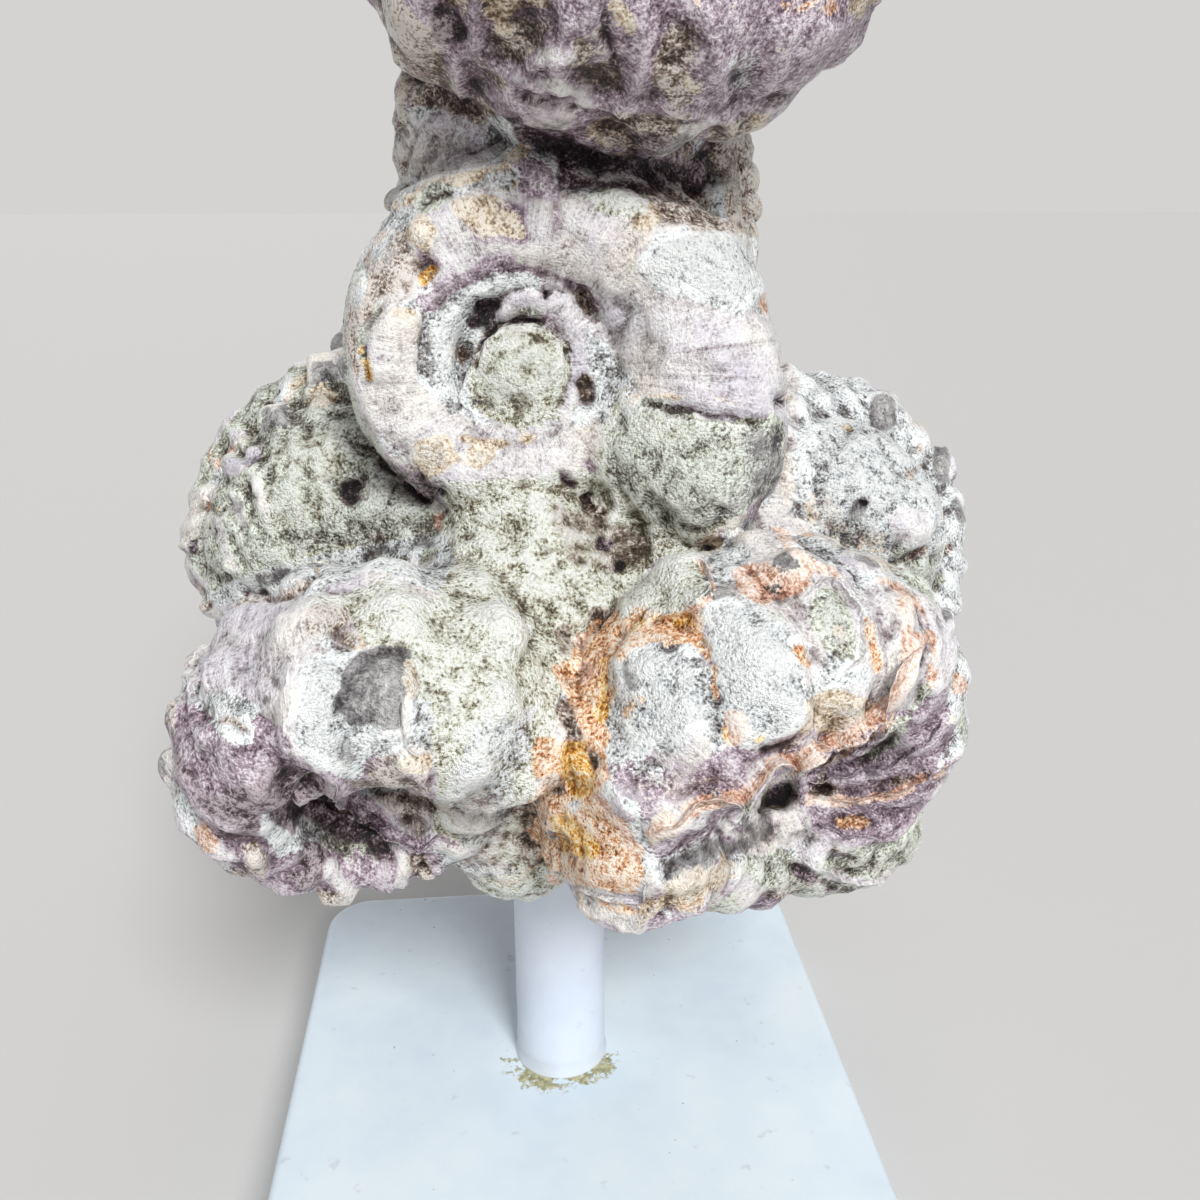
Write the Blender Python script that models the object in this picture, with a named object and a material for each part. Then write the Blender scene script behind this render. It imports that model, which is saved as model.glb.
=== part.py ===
"""Fossil ammonite cluster on a painted stand.

Knobbly ammonites, cemented by pale sandstone into one natural lump, sit on a round post that
stands in a square plate. Metres, +Z up. The origin is the middle of the plate's underside, and
+Y points away from the side that is looked at.
"""

import math
from dataclasses import dataclass

import bmesh
import bpy
import numpy as np
from mathutils import Matrix, Vector

MM = 0.001
TURN = 2 * math.pi
GAP = 0.3 * MM

# Stand
PLATE_SIDE = 100 * MM
PLATE_THICKNESS = 18 * MM
PLATE_CORNER = 9 * MM
PLATE_EDGE = 1.5 * MM
POST_DIAMETER = 16 * MM
POST_EDGE = 0.8 * MM
POST_X = -1.5 * MM
POST_TOP = 84 * MM
FOOT_DEPTH = 6 * MM
ROUND_SIDES = 48

# Cluster: the shells' rings and points, the grain of the joined skin, and its triangle count
RINGS_PER_TURN = 160
RING_POINTS = 56
SKIN_GRAIN = 1.4 * MM
TRIANGLES = 8600
RIB_HALF_WIDTH = 0.26
KNOB_HALF_WIDTH = 0.30
KNOB_SPREAD = 0.17
MOUTH_BULGE = 0.7
MOUTH_RINGS = 5
CEMENT_ROUNDS = 26
CEMENT_DEPTH = 4 * MM
CEMENT_TOP = 178 * MM

# Where the rows of knobs lie round a whorl, from its outer edge, and how tall each row is
KNOB_ROWS = ((0.0, 1.0), (0.62, 0.4), (1.35, 0.2))
UNSEEN_INSIDE = 2.2


@dataclass
class Shell:
    """One ammonite. Places are millimetres from the post's axis at the plate's underside."""

    hollow: tuple  # middle of the coil, on the flank that shows
    axis: tuple  # the way the coil's axis points, out of that flank
    mouth: tuple  # the way from the middle to the mouth
    radius: float  # middle to outer edge at the mouth
    depth: float = 8  # hollow to the shell's middle plane
    growth: float = 1.8  # how many times larger each turn is than the one inside it
    turns: float = 2.0
    height: float = 0.68  # whorl height as a part of the radius
    width: float = 1.0  # whorl width as a part of the radius
    ribs: int = 0  # ribs in a turn
    rib: float = 1.2
    knob: float = 2.2
    hand: int = 1  # 1 coils inwards anticlockwise as seen from the flank, -1 clockwise
    square: float = 2.4


SHELLS = {
    "front": Shell((-5, -27, 147), (-0.05, -0.98, 0.18), (0.82, 0, -0.57), 36, depth=7, growth=2.2,
                   turns=2.2, height=0.62, width=0.78, square=2.3),
    "lower_left": Shell((-25, -43, 95), (0.08, -0.88, -0.47), (0.75, 0, 0.5), 29, growth=1.75,
                        width=1.05, ribs=15, rib=1.4, knob=1.6),
    "lower_right": Shell((30, -43, 95), (0.36, -0.88, -0.32), (-0.95, 0, -0.3), 32, depth=9, growth=1.38,
                         width=0.95, ribs=17, rib=1.3, knob=1.4, hand=-1),
    "side_left": Shell((-34.5, -6, 122), (-0.35, -0.76, 0.55), (0.6, 0, -0.8), 35, ribs=23, rib=0.8, knob=2.2),
    "side_right": Shell((47, -5, 117.5), (0.40, -0.76, 0.50), (-0.6, 0, -0.8), 34.5, ribs=23, rib=0.8, knob=2.2,
                        hand=-1),
    "crown": Shell((13, -32, 211), (0.22, -0.92, 0.30), (-0.8, 0, -0.3), 37, depth=12, growth=1.5, height=0.70,
                   width=1.15, ribs=15, rib=1.2, knob=0.9, square=2.3),
    "crown_back": Shell((-6, 28, 207), (-0.5, 0.75, 0.4), (0.7, 0.4, 0.5), 27, growth=1.7, ribs=20, knob=2.0),
    "neck_back": Shell((6, 30, 175), (0.45, 0.75, 0.45), (-0.9, 0.2, 0.1), 25, growth=1.7, ribs=15, knob=0.8),
    "neck_left": Shell((-20, 4, 165), (-0.92, 0.20, 0.20), (0.3, 0.5, 0.8), 21, growth=1.7, width=0.9, ribs=16,
                       rib=1.0, knob=1.6),
    "neck_right": Shell((27.5, 1, 168), (0.93, -0.25, 0.25), (0, -0.6, 0.8), 19, depth=7, growth=1.7, width=0.9,
                        ribs=15, rib=1.0, knob=1.4, hand=-1),
    "back_upper": Shell((-6, 39, 137), (-0.30, 0.92, 0.12), (-0.7, 0, 0.7), 32, depth=9, growth=1.7, ribs=24,
                        knob=2.4, hand=-1),
    "back_lower": Shell((9, 42, 93), (0.28, 0.88, -0.30), (0.9, 0, -0.4), 36, depth=9, growth=1.7, ribs=26,
                        knob=2.4),
    "back_left": Shell((-40, 27, 90), (-0.72, 0.62, -0.25), (0.2, 0.2, 0.9), 27, ribs=21, hand=-1),
    "back_right": Shell((41, 30, 118), (0.70, 0.66, 0.25), (-0.2, 0.2, 0.9), 25, ribs=20),
}

# Sandstone between the shells: middle and half sizes in millimetres, and the turn about Z in degrees
SANDSTONE = {
    "trunk": ((0, 6, 108), (38, 30, 40), 0),
    "waist": ((4, 5, 162), (23, 22, 34), 0),
    "bed_of_front_shell": ((2, -8, 146), (25, 14, 24), 0),
    "between_lower_shells": ((-5, -24, 104), (17, 17, 29), 0),
    "above_post": ((-7, -23, 84), (12, 15, 15), 0),
    "throat": ((12, -19, 120), (15, 13, 15), 0),
    "filled_mouth": ((16.0, -22.4, 137), (13.6, 14, 13.2), 0),
    "lower_right_lobe": ((38, -24, 78), (16, 12, 9.5), -15),
    "left_brow": ((-9, -6, 176), (12, 12, 13), 0),
    "left_filled_hollow": ((-30, -6, 120), (21, 13, 19), 0),
    "right_filled_hollow": ((40.5, -6, 118), (20, 13, 18), 0),
    "hub": ((-5, -25.6, 144.2), (7.2, 3.2, 8.4), 0),
    "crown_heart": ((6, 4, 200), (24, 18, 22), 0),
}


def clear_scene():
    for obj in list(bpy.data.objects):
        bpy.data.objects.remove(obj)


def material(name, colour, roughness):
    finish = bpy.data.materials.new(name)
    finish.use_nodes = True
    shader = finish.node_tree.nodes["Principled BSDF"]
    shader.inputs["Base Color"].default_value = (*colour, 1)
    shader.inputs["Roughness"].default_value = roughness
    shader.inputs["Metallic"].default_value = 0
    return finish


def add_object(name, mesh, finish):
    mesh.name = name
    mesh.materials.clear()
    mesh.materials.append(finish)
    obj = bpy.data.objects.new(name, mesh)
    bpy.context.scene.collection.objects.link(obj)
    return obj


def mesh_from(bm, name):
    mesh = bpy.data.meshes.new(name)
    bm.to_mesh(mesh)
    bm.free()
    return mesh


def unit(vector):
    vector = np.asarray(vector, float)
    return vector / np.linalg.norm(vector)


def coil_frame(shell):
    """The coil's middle, its axis, the way to the mouth, and the way the tube runs inwards there."""
    axis = unit(shell.axis)
    middle = np.asarray(shell.hollow, float) - axis * shell.depth
    to_mouth = np.asarray(shell.mouth, float)
    to_mouth = unit(to_mouth - axis * (to_mouth @ axis))
    return middle, axis, to_mouth, np.cross(axis, to_mouth) * shell.hand


def rib_relief(shell, rng, turned, around):
    """How far ribs and knobs stand proud at each ring and each point round it, at full size."""
    if shell.ribs == 0:
        return np.zeros((len(turned), len(around)))
    count = turned / TURN * shell.ribs
    nearest = np.round(count)
    strength = rng.uniform(0.6, 1.15, int(nearest.max()) + 1)[nearest.astype(int)]
    rib = strength * np.exp(-(((count - nearest) / RIB_HALF_WIDTH) ** 2))
    stub = strength * np.exp(-(((count - nearest) / KNOB_HALF_WIDTH) ** 4))
    from_edge = np.abs((around + math.pi) % TURN - math.pi)
    fade = np.clip((UNSEEN_INSIDE - from_edge) * 2, 0, 1)
    rows = sum(tall * np.exp(-(((from_edge - row) / KNOB_SPREAD) ** 4)) for row, tall in KNOB_ROWS)
    return np.outer(rib, shell.rib * fade) + np.outer(stub, shell.knob * rows)


def add_shell(bm, shell, seed):
    """Adds one coiled tube, from its rounded mouth to its innermost turn, as a closed surface."""
    rng = np.random.default_rng(seed)
    middle, axis, to_mouth, inwards = coil_frame(shell)
    turned = np.linspace(0, shell.turns * TURN, int(shell.turns * RINGS_PER_TURN))
    around = np.linspace(0, TURN, RING_POINTS, endpoint=False)
    outer = shell.radius * shell.growth ** (-turned / TURN)
    half_height = outer * shell.height / 2
    half_width = outer * shell.width / 2
    power = shell.square
    superellipse = (np.abs(np.cos(around)) ** power + np.abs(np.sin(around)) ** power) ** (-1 / power)
    relief = rib_relief(shell, rng, turned, around) * (outer / shell.radius)[:, None]
    out = np.outer(half_height, superellipse * np.cos(around)) + relief * np.cos(around)
    side = np.outer(half_width, superellipse * np.sin(around)) + relief * np.sin(around)
    spoke = np.outer(np.cos(turned), to_mouth) + np.outer(np.sin(turned), inwards)
    reach = (outer - half_height)[:, None] + out
    rings = middle + spoke[:, None, :] * reach[:, :, None] + axis * side[:, :, None]

    mouth_middle = middle + to_mouth * (outer[0] - half_height[0])
    bulge = -inwards * half_height[0] * MOUTH_BULGE
    angles = [(k + 1) / (MOUTH_RINGS + 1) * math.pi / 2 for k in range(MOUTH_RINGS)]
    dome = [mouth_middle + (rings[0] - mouth_middle) * math.cos(a) + bulge * math.sin(a) for a in reversed(angles)]
    rings = np.concatenate([dome, rings]) * MM

    rows = [[bm.verts.new(point) for point in ring] for ring in rings]
    tip = bm.verts.new((mouth_middle + bulge) * MM)
    core = bm.verts.new(rings[-1].mean(axis=0))
    faces = []
    for k in range(RING_POINTS):
        after = (k + 1) % RING_POINTS
        for here, there in zip(rows, rows[1:]):
            faces.append((here[k], here[after], there[after], there[k]))
        faces.append((tip, rows[0][after], rows[0][k]))
        faces.append((core, rows[-1][k], rows[-1][after]))
    for corners in faces:
        bm.faces.new(corners if shell.hand > 0 else corners[::-1])


def add_lump(bm, middle, half_sizes, turn):
    stretch = Matrix.Diagonal((*(size * MM for size in half_sizes), 1))
    place = Matrix.Translation(Vector(middle) * MM) @ Matrix.Rotation(math.radians(turn), 4, "Z")
    bmesh.ops.create_icosphere(bm, subdivisions=4, radius=1, matrix=place @ stretch)


def outer_skin(source, grain):
    """The surfaces of the source melted together, without the closed pockets left inside."""
    melt = source.modifiers.new("melt", "REMESH")
    melt.mode = "VOXEL"
    melt.voxel_size = grain
    depsgraph = bpy.context.evaluated_depsgraph_get()
    bm = bmesh.new()
    bm.from_mesh(source.evaluated_get(depsgraph).data)
    bpy.data.objects.remove(source)

    bm.verts.index_update()
    seen = set()
    islands = []
    for vert in bm.verts:
        if vert.index in seen:
            continue
        island, edge_of_search = [], [vert]
        seen.add(vert.index)
        while edge_of_search:
            here = edge_of_search.pop()
            island.append(here)
            for edge in here.link_edges:
                other = edge.other_vert(here)
                if other.index not in seen:
                    seen.add(other.index)
                    edge_of_search.append(other)
        islands.append(island)
    keep = max(islands, key=len)
    inside = [vert for island in islands if island is not keep for vert in island]
    bmesh.ops.delete(bm, geom=inside, context="VERTS")
    bmesh.ops.triangulate(bm, faces=bm.faces)
    return mesh_from(bm, "skin")


def cement(mesh):
    """Fills the creases between the shells with sandstone, except in the gap below the crown."""
    count = len(mesh.vertices)
    points, normals = np.empty(count * 3), np.empty(count * 3)
    mesh.vertices.foreach_get("co", points)
    mesh.vertex_normals.foreach_get("vector", normals)
    points, normals = points.reshape(-1, 3), normals.reshape(-1, 3)
    edges = np.empty(len(mesh.edges) * 2, int)
    mesh.edges.foreach_get("vertices", edges)
    first, second = edges.reshape(-1, 2).T
    neighbours = np.bincount(edges, minlength=count)[:, None]
    evened = points
    for _ in range(CEMENT_ROUNDS):
        total = np.zeros_like(points)
        np.add.at(total, first, evened[second])
        np.add.at(total, second, evened[first])
        evened = 0.5 * evened + 0.5 * total / neighbours
    hollow = np.einsum("ij,ij->i", evened - points, normals)
    filled = np.clip(hollow, 0, CEMENT_DEPTH) * 0.7 * (points[:, 2] < CEMENT_TOP)
    mesh.vertices.foreach_set("co", (points + normals * filled[:, None]).ravel())
    mesh.update()


def socket_cutter(name, bottom, top):
    """A cylinder that leaves the gap round the post, hidden, for a Boolean to cut with."""
    bm = bmesh.new()
    radius = POST_DIAMETER / 2 + GAP
    bmesh.ops.create_cone(bm, cap_ends=True, segments=ROUND_SIDES, radius1=radius, radius2=radius,
                          depth=top - bottom)
    cutter = add_object(name, mesh_from(bm, name), bpy.data.materials.new(name))
    cutter.location = (POST_X, 0, (bottom + top) / 2)
    cutter.hide_render = True
    cutter.display_type = "WIRE"
    return cutter


def cut(obj, cutter):
    boolean = obj.modifiers.new(cutter.name, "BOOLEAN")
    boolean.operation = "DIFFERENCE"
    boolean.solver = "EXACT"
    boolean.object = cutter


def make_cluster():
    bm = bmesh.new()
    for seed, shell in enumerate(SHELLS.values()):
        add_shell(bm, shell, seed)
    for middle, half_sizes, turn in SANDSTONE.values():
        add_lump(bm, middle, half_sizes, turn)
    stone = material("speckled_nacre_and_sandstone", (0.62, 0.57, 0.52), 0.55)
    rough = add_object("shells_and_sandstone", mesh_from(bm, "shells_and_sandstone"), stone)
    skin = outer_skin(rough, SKIN_GRAIN)
    cement(skin)
    faces = len(skin.polygons)
    cluster = add_object("fossil_cluster", skin, stone)
    cluster.location.x = POST_X
    thin = cluster.modifiers.new("thin_out", "DECIMATE")
    thin.ratio = TRIANGLES / faces
    cut(cluster, socket_cutter("post_socket", 0.05, POST_TOP + GAP))
    return cluster


def make_post():
    bottom = PLATE_THICKNESS - FOOT_DEPTH + GAP
    bm = bmesh.new()
    radius = POST_DIAMETER / 2
    bmesh.ops.create_cone(bm, cap_ends=True, segments=ROUND_SIDES, radius1=radius, radius2=radius,
                          depth=POST_TOP - bottom)
    mesh = mesh_from(bm, "post")
    mesh.shade_smooth()
    mesh.set_sharp_from_angle(angle=math.radians(40))
    post = add_object("post", mesh, material("white_painted_post", (0.86, 0.87, 0.90), 0.45))
    post.location = (POST_X, 0, (bottom + POST_TOP) / 2)
    edge = post.modifiers.new("broken_edges", "BEVEL")
    edge.width = POST_EDGE
    edge.segments = 2
    edge.limit_method = "ANGLE"
    return post


def make_base_plate():
    bm = bmesh.new()
    bmesh.ops.create_cube(bm, size=1, matrix=Matrix.Diagonal((PLATE_SIDE, PLATE_SIDE, PLATE_THICKNESS, 1)))
    uprights = [e for e in bm.edges if abs(e.verts[0].co.z - e.verts[1].co.z) > PLATE_THICKNESS / 2]
    bmesh.ops.bevel(bm, geom=uprights, offset=PLATE_CORNER, segments=8, profile=0.5, affect="EDGES")
    rims = [e for e in bm.edges if abs(e.verts[0].co.z - e.verts[1].co.z) < PLATE_THICKNESS / 2]
    bmesh.ops.bevel(bm, geom=rims, offset=PLATE_EDGE, segments=3, profile=0.5, affect="EDGES")
    plate = add_object("base_plate", mesh_from(bm, "base_plate"),
                       material("white_painted_plate", (0.88, 0.90, 0.92), 0.4))
    plate.location.z = PLATE_THICKNESS / 2
    cut(plate, socket_cutter("foot_socket", PLATE_THICKNESS - FOOT_DEPTH, PLATE_THICKNESS * 2))
    return plate


clear_scene()
make_cluster()
make_post()
make_base_plate()
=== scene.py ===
"""Fossil ammonite cluster on a painted stand: the fine surface and the finishes.

The cluster is modelled again at a finer grain than the frame's solid: coiled shells and lumps of
sandstone are melted into one skin, and every chip, ridge, hollow and patch that shows from the front
is then worked into it. Those marks are placed where the photograph shows them, in its 1200 pixel frame.
Lengths are in millimetres and are turned into metres with MM.
"""

import math
from dataclasses import dataclass

import bmesh
import bpy
import numpy as np
from mathutils import Matrix, Vector
from mathutils.bvhtree import BVHTree


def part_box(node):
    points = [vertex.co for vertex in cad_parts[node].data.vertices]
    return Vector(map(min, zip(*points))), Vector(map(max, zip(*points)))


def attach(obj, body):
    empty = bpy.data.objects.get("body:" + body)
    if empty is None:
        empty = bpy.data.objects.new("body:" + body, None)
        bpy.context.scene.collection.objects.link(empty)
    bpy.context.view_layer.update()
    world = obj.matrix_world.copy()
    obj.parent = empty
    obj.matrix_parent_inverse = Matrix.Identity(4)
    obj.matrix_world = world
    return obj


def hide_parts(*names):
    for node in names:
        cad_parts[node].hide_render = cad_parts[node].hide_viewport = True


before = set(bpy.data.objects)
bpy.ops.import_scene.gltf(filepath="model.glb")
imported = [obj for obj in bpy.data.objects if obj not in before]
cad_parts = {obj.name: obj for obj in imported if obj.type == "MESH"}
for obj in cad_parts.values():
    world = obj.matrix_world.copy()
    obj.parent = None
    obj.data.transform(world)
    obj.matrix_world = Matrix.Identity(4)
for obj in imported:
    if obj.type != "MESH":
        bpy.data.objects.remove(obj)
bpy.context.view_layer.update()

MM = 0.001
TURN = 2 * math.pi

# Photograph
PHOTO_SIDE = 1200
FOCAL_PIXELS = 1120
EYE = np.array((-9.2, -168.0, 168.0))
LOOKS_DOWN = math.radians(20.1)
LOOKS_RIGHT = math.radians(5.1)
SENSOR = 36

# Coils: widths of ribs and knobs are shares of the way from one rib to the next
RINGS_PER_TURN = 230
RING_POINTS = 84
RIB_HALF_WIDTH = 0.26
KNOB_HALF_WIDTH = 0.30
# Rows of knobs: angle from the tube's outer edge, and height
KNOB_ROWS = ((0.0, 1.0), (0.62, 0.4), (1.35, 0.2))
KNOB_SPREAD = 0.17
UNSEEN_INSIDE = 2.2
MOUTH_BULGE = 0.7
MOUTH_RINGS = 7

# Cluster
POST_X = -1.5
CROWN = ("crown", "crown_back")
CROWN_FLOOR = 172
CROWN_FINISH_FROM = 178
CEMENT_TO = 184
CEMENT_ROUNDS = 160
CEMENT_DEPTH = 4
SKIN_GRAIN = 0.56
SHELL_SKIN = 1.7
HIDDEN_BELOW = 1.2
TRIANGLES = 175000
SEEN_SPARE = 0.25
SEEN_KEEP = 2e-5

# Finishes: hollows are measured against these depths, and growth lines against these radii
EDGE_SPREAD = 8
CREVICE_RAYS = 9
CREVICE_REACH = 14
FINE_HOLLOW = 0.14
BROAD_HOLLOW = 0.5
GROWTH_RADIUS = 25
TUBE_RADIUS = 8
SHELLS_APART = 31.0

# Thin broken edges of shell: the step is in the photograph's pixels
LEDGE_STEP = 1.6
LEDGE_SIDES = 10
LEDGE_HALF_WIDTH = 0.6
LEDGE_ROOT = 1.6

# Stand
POST_SIDES = 96
POST_TOP = 0.8
POST_UNEVEN = 0.09
# Paint gathers at the post's foot, and in a bead a little above it
PAINT_FOOT = 0.45
PAINT_FOOT_SPREAD = 0.9
PAINT_BEAD = 0.12
PAINT_BEAD_AT = 3.2
PAINT_BEAD_SPREAD = 0.8
PLATE_EDGE = 1.5
PLATE_UNEVEN = 0.12
PLATE_DISH = 0.1
PLATE_CORNER = 9
CORNER_POINTS = 9
SIDE_POINTS = 33
FOOT_MIDDLE = (-0.0015, 0, 0)
POST_TINTS = ((208, 216, 230), (218, 226, 237), (228, 234, 242))
PLATE_TINTS = ((214, 228, 240), (224, 237, 246), (231, 241, 247))
SMUDGE, SPECK = (176, 178, 186), (110, 108, 104)
STAIN_TINTS = ((142, 140, 104), (200, 196, 160))

# Stage
WORLD_LIGHT = 0.17
BACKDROP = (212, 211, 210)
FLOOR = (206, 205, 204)
FLOOR_REACH = 9000
# Soft lights: where each one is, its power, and its spread in degrees
LIGHTS = {
    "key": ((0.3, -1.0, 0.85), 2.9, 18),
    "front": ((-0.25, -1.0, 0.12), 0.5, 50),
    "overhead": ((0.12, -0.25, 1.0), 0.65, 45),
    "back": ((-0.3, 1.0, 0.25), 0.9, 50),
}


# Shells and sandstone

@dataclass
class Shell:
    """One ammonite. Places are millimetres from the post's axis at the plate's underside."""

    hollow: tuple
    axis: tuple
    mouth: tuple
    radius: float
    depth: float = 8
    growth: float = 1.8
    turns: float = 2.0
    height: float = 0.68
    width: float = 1.0
    ribs: int = 0
    rib: float = 1.2
    knob: float = 2.2
    hand: int = 1
    square: float = 2.4
    bared: str = "pepper"
    cover: str = "nacre"


SHELLS = {
    "front": Shell((-5, -27, 147), (-0.05, -0.98, 0.18), (0.82, 0, -0.57), 36, depth=7, growth=2.2,
                   turns=2.2, height=0.62, width=0.78, square=2.3),
    "lower_left": Shell((-25, -43, 95), (0.08, -0.88, -0.47), (0.75, 0, 0.5), 29, growth=1.75,
                        width=1.05, ribs=15, rib=1.4, knob=1.6),
    "lower_right": Shell((30, -43, 95), (0.36, -0.88, -0.32), (-0.95, 0, -0.3), 32, depth=9, growth=1.38,
                         width=0.95, ribs=17, rib=1.3, knob=1.4, hand=-1),
    "side_left": Shell((-34.5, -6, 122), (-0.35, -0.76, 0.55), (0.6, 0, -0.8), 35, ribs=23,
                       rib=0.8, bared="moss"),
    "side_right": Shell((47, -5, 117.5), (0.40, -0.76, 0.50), (-0.6, 0, -0.8), 34.5, ribs=23,
                        rib=0.8, hand=-1),
    "crown": Shell((13, -32, 211), (0.22, -0.92, 0.30), (-0.8, 0, -0.3), 37, depth=12, growth=1.5,
                   height=0.70, width=1.15, ribs=15, rib=1.9, knob=1.5, square=2.3, bared="brown",
                   cover="lavender"),
    "crown_back": Shell((-6, 28, 207), (-0.5, 0.75, 0.4), (0.7, 0.4, 0.5), 27, growth=1.7, ribs=20,
                        knob=2.0, bared="brown", cover="lavender"),
    "neck_back": Shell((6, 30, 175), (0.45, 0.75, 0.45), (-0.9, 0.2, 0.1), 25, growth=1.7, ribs=15,
                       knob=0.8),
    "neck_left": Shell((-20, 4, 165), (-0.92, 0.20, 0.20), (0.3, 0.5, 0.8), 21, growth=1.7, width=0.9,
                       ribs=16, rib=1.0, knob=1.6, cover="sandstone"),
    "neck_right": Shell((27.5, 1, 168), (0.93, -0.25, 0.25), (0, -0.6, 0.8), 19, depth=7, growth=1.7,
                        width=0.9, ribs=15, rib=1.0, knob=0.6, hand=-1, bared="brown", cover="tan"),
    "back_upper": Shell((-6, 39, 137), (-0.30, 0.92, 0.12), (-0.7, 0, 0.7), 32, depth=9, growth=1.7, ribs=24,
                        knob=2.4, hand=-1),
    "back_lower": Shell((9, 42, 93), (0.28, 0.88, -0.30), (0.9, 0, -0.4), 36, depth=9, growth=1.7, ribs=26,
                        knob=2.4, bared="moss"),
    "back_left": Shell((-40, 27, 90), (-0.72, 0.62, -0.25), (0.2, 0.2, 0.9), 27, ribs=21, hand=-1),
    "back_right": Shell((41, 30, 118), (0.70, 0.66, 0.25), (-0.2, 0.2, 0.9), 25, ribs=20, bared="moss"),
}

SANDSTONE = {
    "trunk": ((0, 6, 108), (38, 30, 40), 0),
    "waist": ((4, 5, 162), (23, 22, 34), 0),
    "bed_of_front_shell": ((2, -8, 146), (25, 14, 24), 0),
    "between_lower_shells": ((-5, -24, 104), (17, 17, 29), 0),
    "above_post": ((-7, -23, 84), (12, 15, 15), 0),
    "throat": ((12, -19, 120), (15, 13, 15), 0),
    "filled_mouth": ((16.0, -22.4, 137), (13.6, 14, 13.2), 0),
    "lower_right_lobe": ((38, -24, 78), (16, 12, 9.5), -15),
    "left_brow": ((-9, -6, 176), (12, 12, 13), 0),
    "left_filled_hollow": ((-30, -6, 120), (21, 13, 19), 0),
    "right_filled_hollow": ((40.5, -6, 118), (20, 13, 18), 0),
    "hub": ((-5, -25.6, 144.2), (7.2, 3.2, 8.4), 0),
    "crown_heart": ((6, 4, 200), (24, 18, 22), 0),
}

# Darkest, dark, middle, light and lightest tone of each finish
FINISHES = {
    "sandstone": ((92, 84, 66), (156, 150, 128), (207, 208, 190), (235, 239, 227), (248, 250, 244)),
    "nacre": ((126, 112, 110), (184, 176, 176), (214, 212, 210), (235, 234, 231), (249, 248, 245)),
    "lavender": ((54, 40, 44), (102, 84, 94), (146, 127, 139), (181, 164, 176), (226, 217, 224)),
    "pepper": ((90, 86, 86), (150, 149, 150), (200, 204, 205), (229, 233, 234), (247, 249, 248)),
    "grey": ((78, 74, 76), (122, 119, 120), (150, 148, 148), (176, 174, 172), (224, 222, 218)),
    "moss": ((66, 60, 52), (114, 110, 100), (156, 156, 144), (196, 200, 186), (230, 236, 224)),
    "tan": ((96, 76, 58), (150, 128, 102), (188, 168, 142), (214, 198, 176), (240, 230, 214)),
    "coral": ((112, 68, 50), (172, 122, 98), (212, 174, 152), (240, 216, 200), (251, 240, 232)),
    "rust": ((84, 48, 32), (160, 98, 58), (210, 152, 104), (238, 198, 160), (250, 236, 220)),
    "amber": ((104, 62, 24), (176, 112, 34), (226, 158, 62), (246, 200, 112), (253, 236, 200)),
    "brown": ((44, 32, 27), (92, 75, 64), (136, 119, 108), (180, 167, 156), (226, 218, 210)),
    "dark": ((18, 12, 13), (46, 34, 38), (78, 62, 67), (120, 104, 110), (178, 165, 170)),
}
PLACES = (0.08, 0.3, 0.5, 0.7, 0.92)
# Tints that drift over the nacre; chalk dust with painted highlight on ridges, and dirt with painted shade in
# hollows
BLUSH = ((228, 223, 240), (248, 246, 249), (251, 245, 236))
RIDGE_CHALK_AND_HIGHLIGHT, HOLLOW_DIRT_AND_SHADE = (240, 240, 238), (120, 102, 96)


# Marks, in the photograph's pixels

@dataclass
class Mark:
    """Something worked into the surface where the photograph shows it."""

    finish: str
    points: tuple
    reach: float = 0  # pixels either side of a line, or 0 where the points are an outline
    lift: float = 0  # millimetres out of the surface
    soft: float = 6  # pixels over which the lift fades
    amount: float = 1
    torn: float = 6  # pixels by which the edge wanders
    ledge: float = 0  # millimetres that a thin broken edge of shell stands up along the line


def patch(finish, *points, **how):
    return Mark(finish, points, **how)


def line(finish, reach, *points, **how):
    return Mark(finish, points, reach, **how)


def spot(finish, reach, point, **how):
    return Mark(finish, (point, point), reach, **how)


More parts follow.
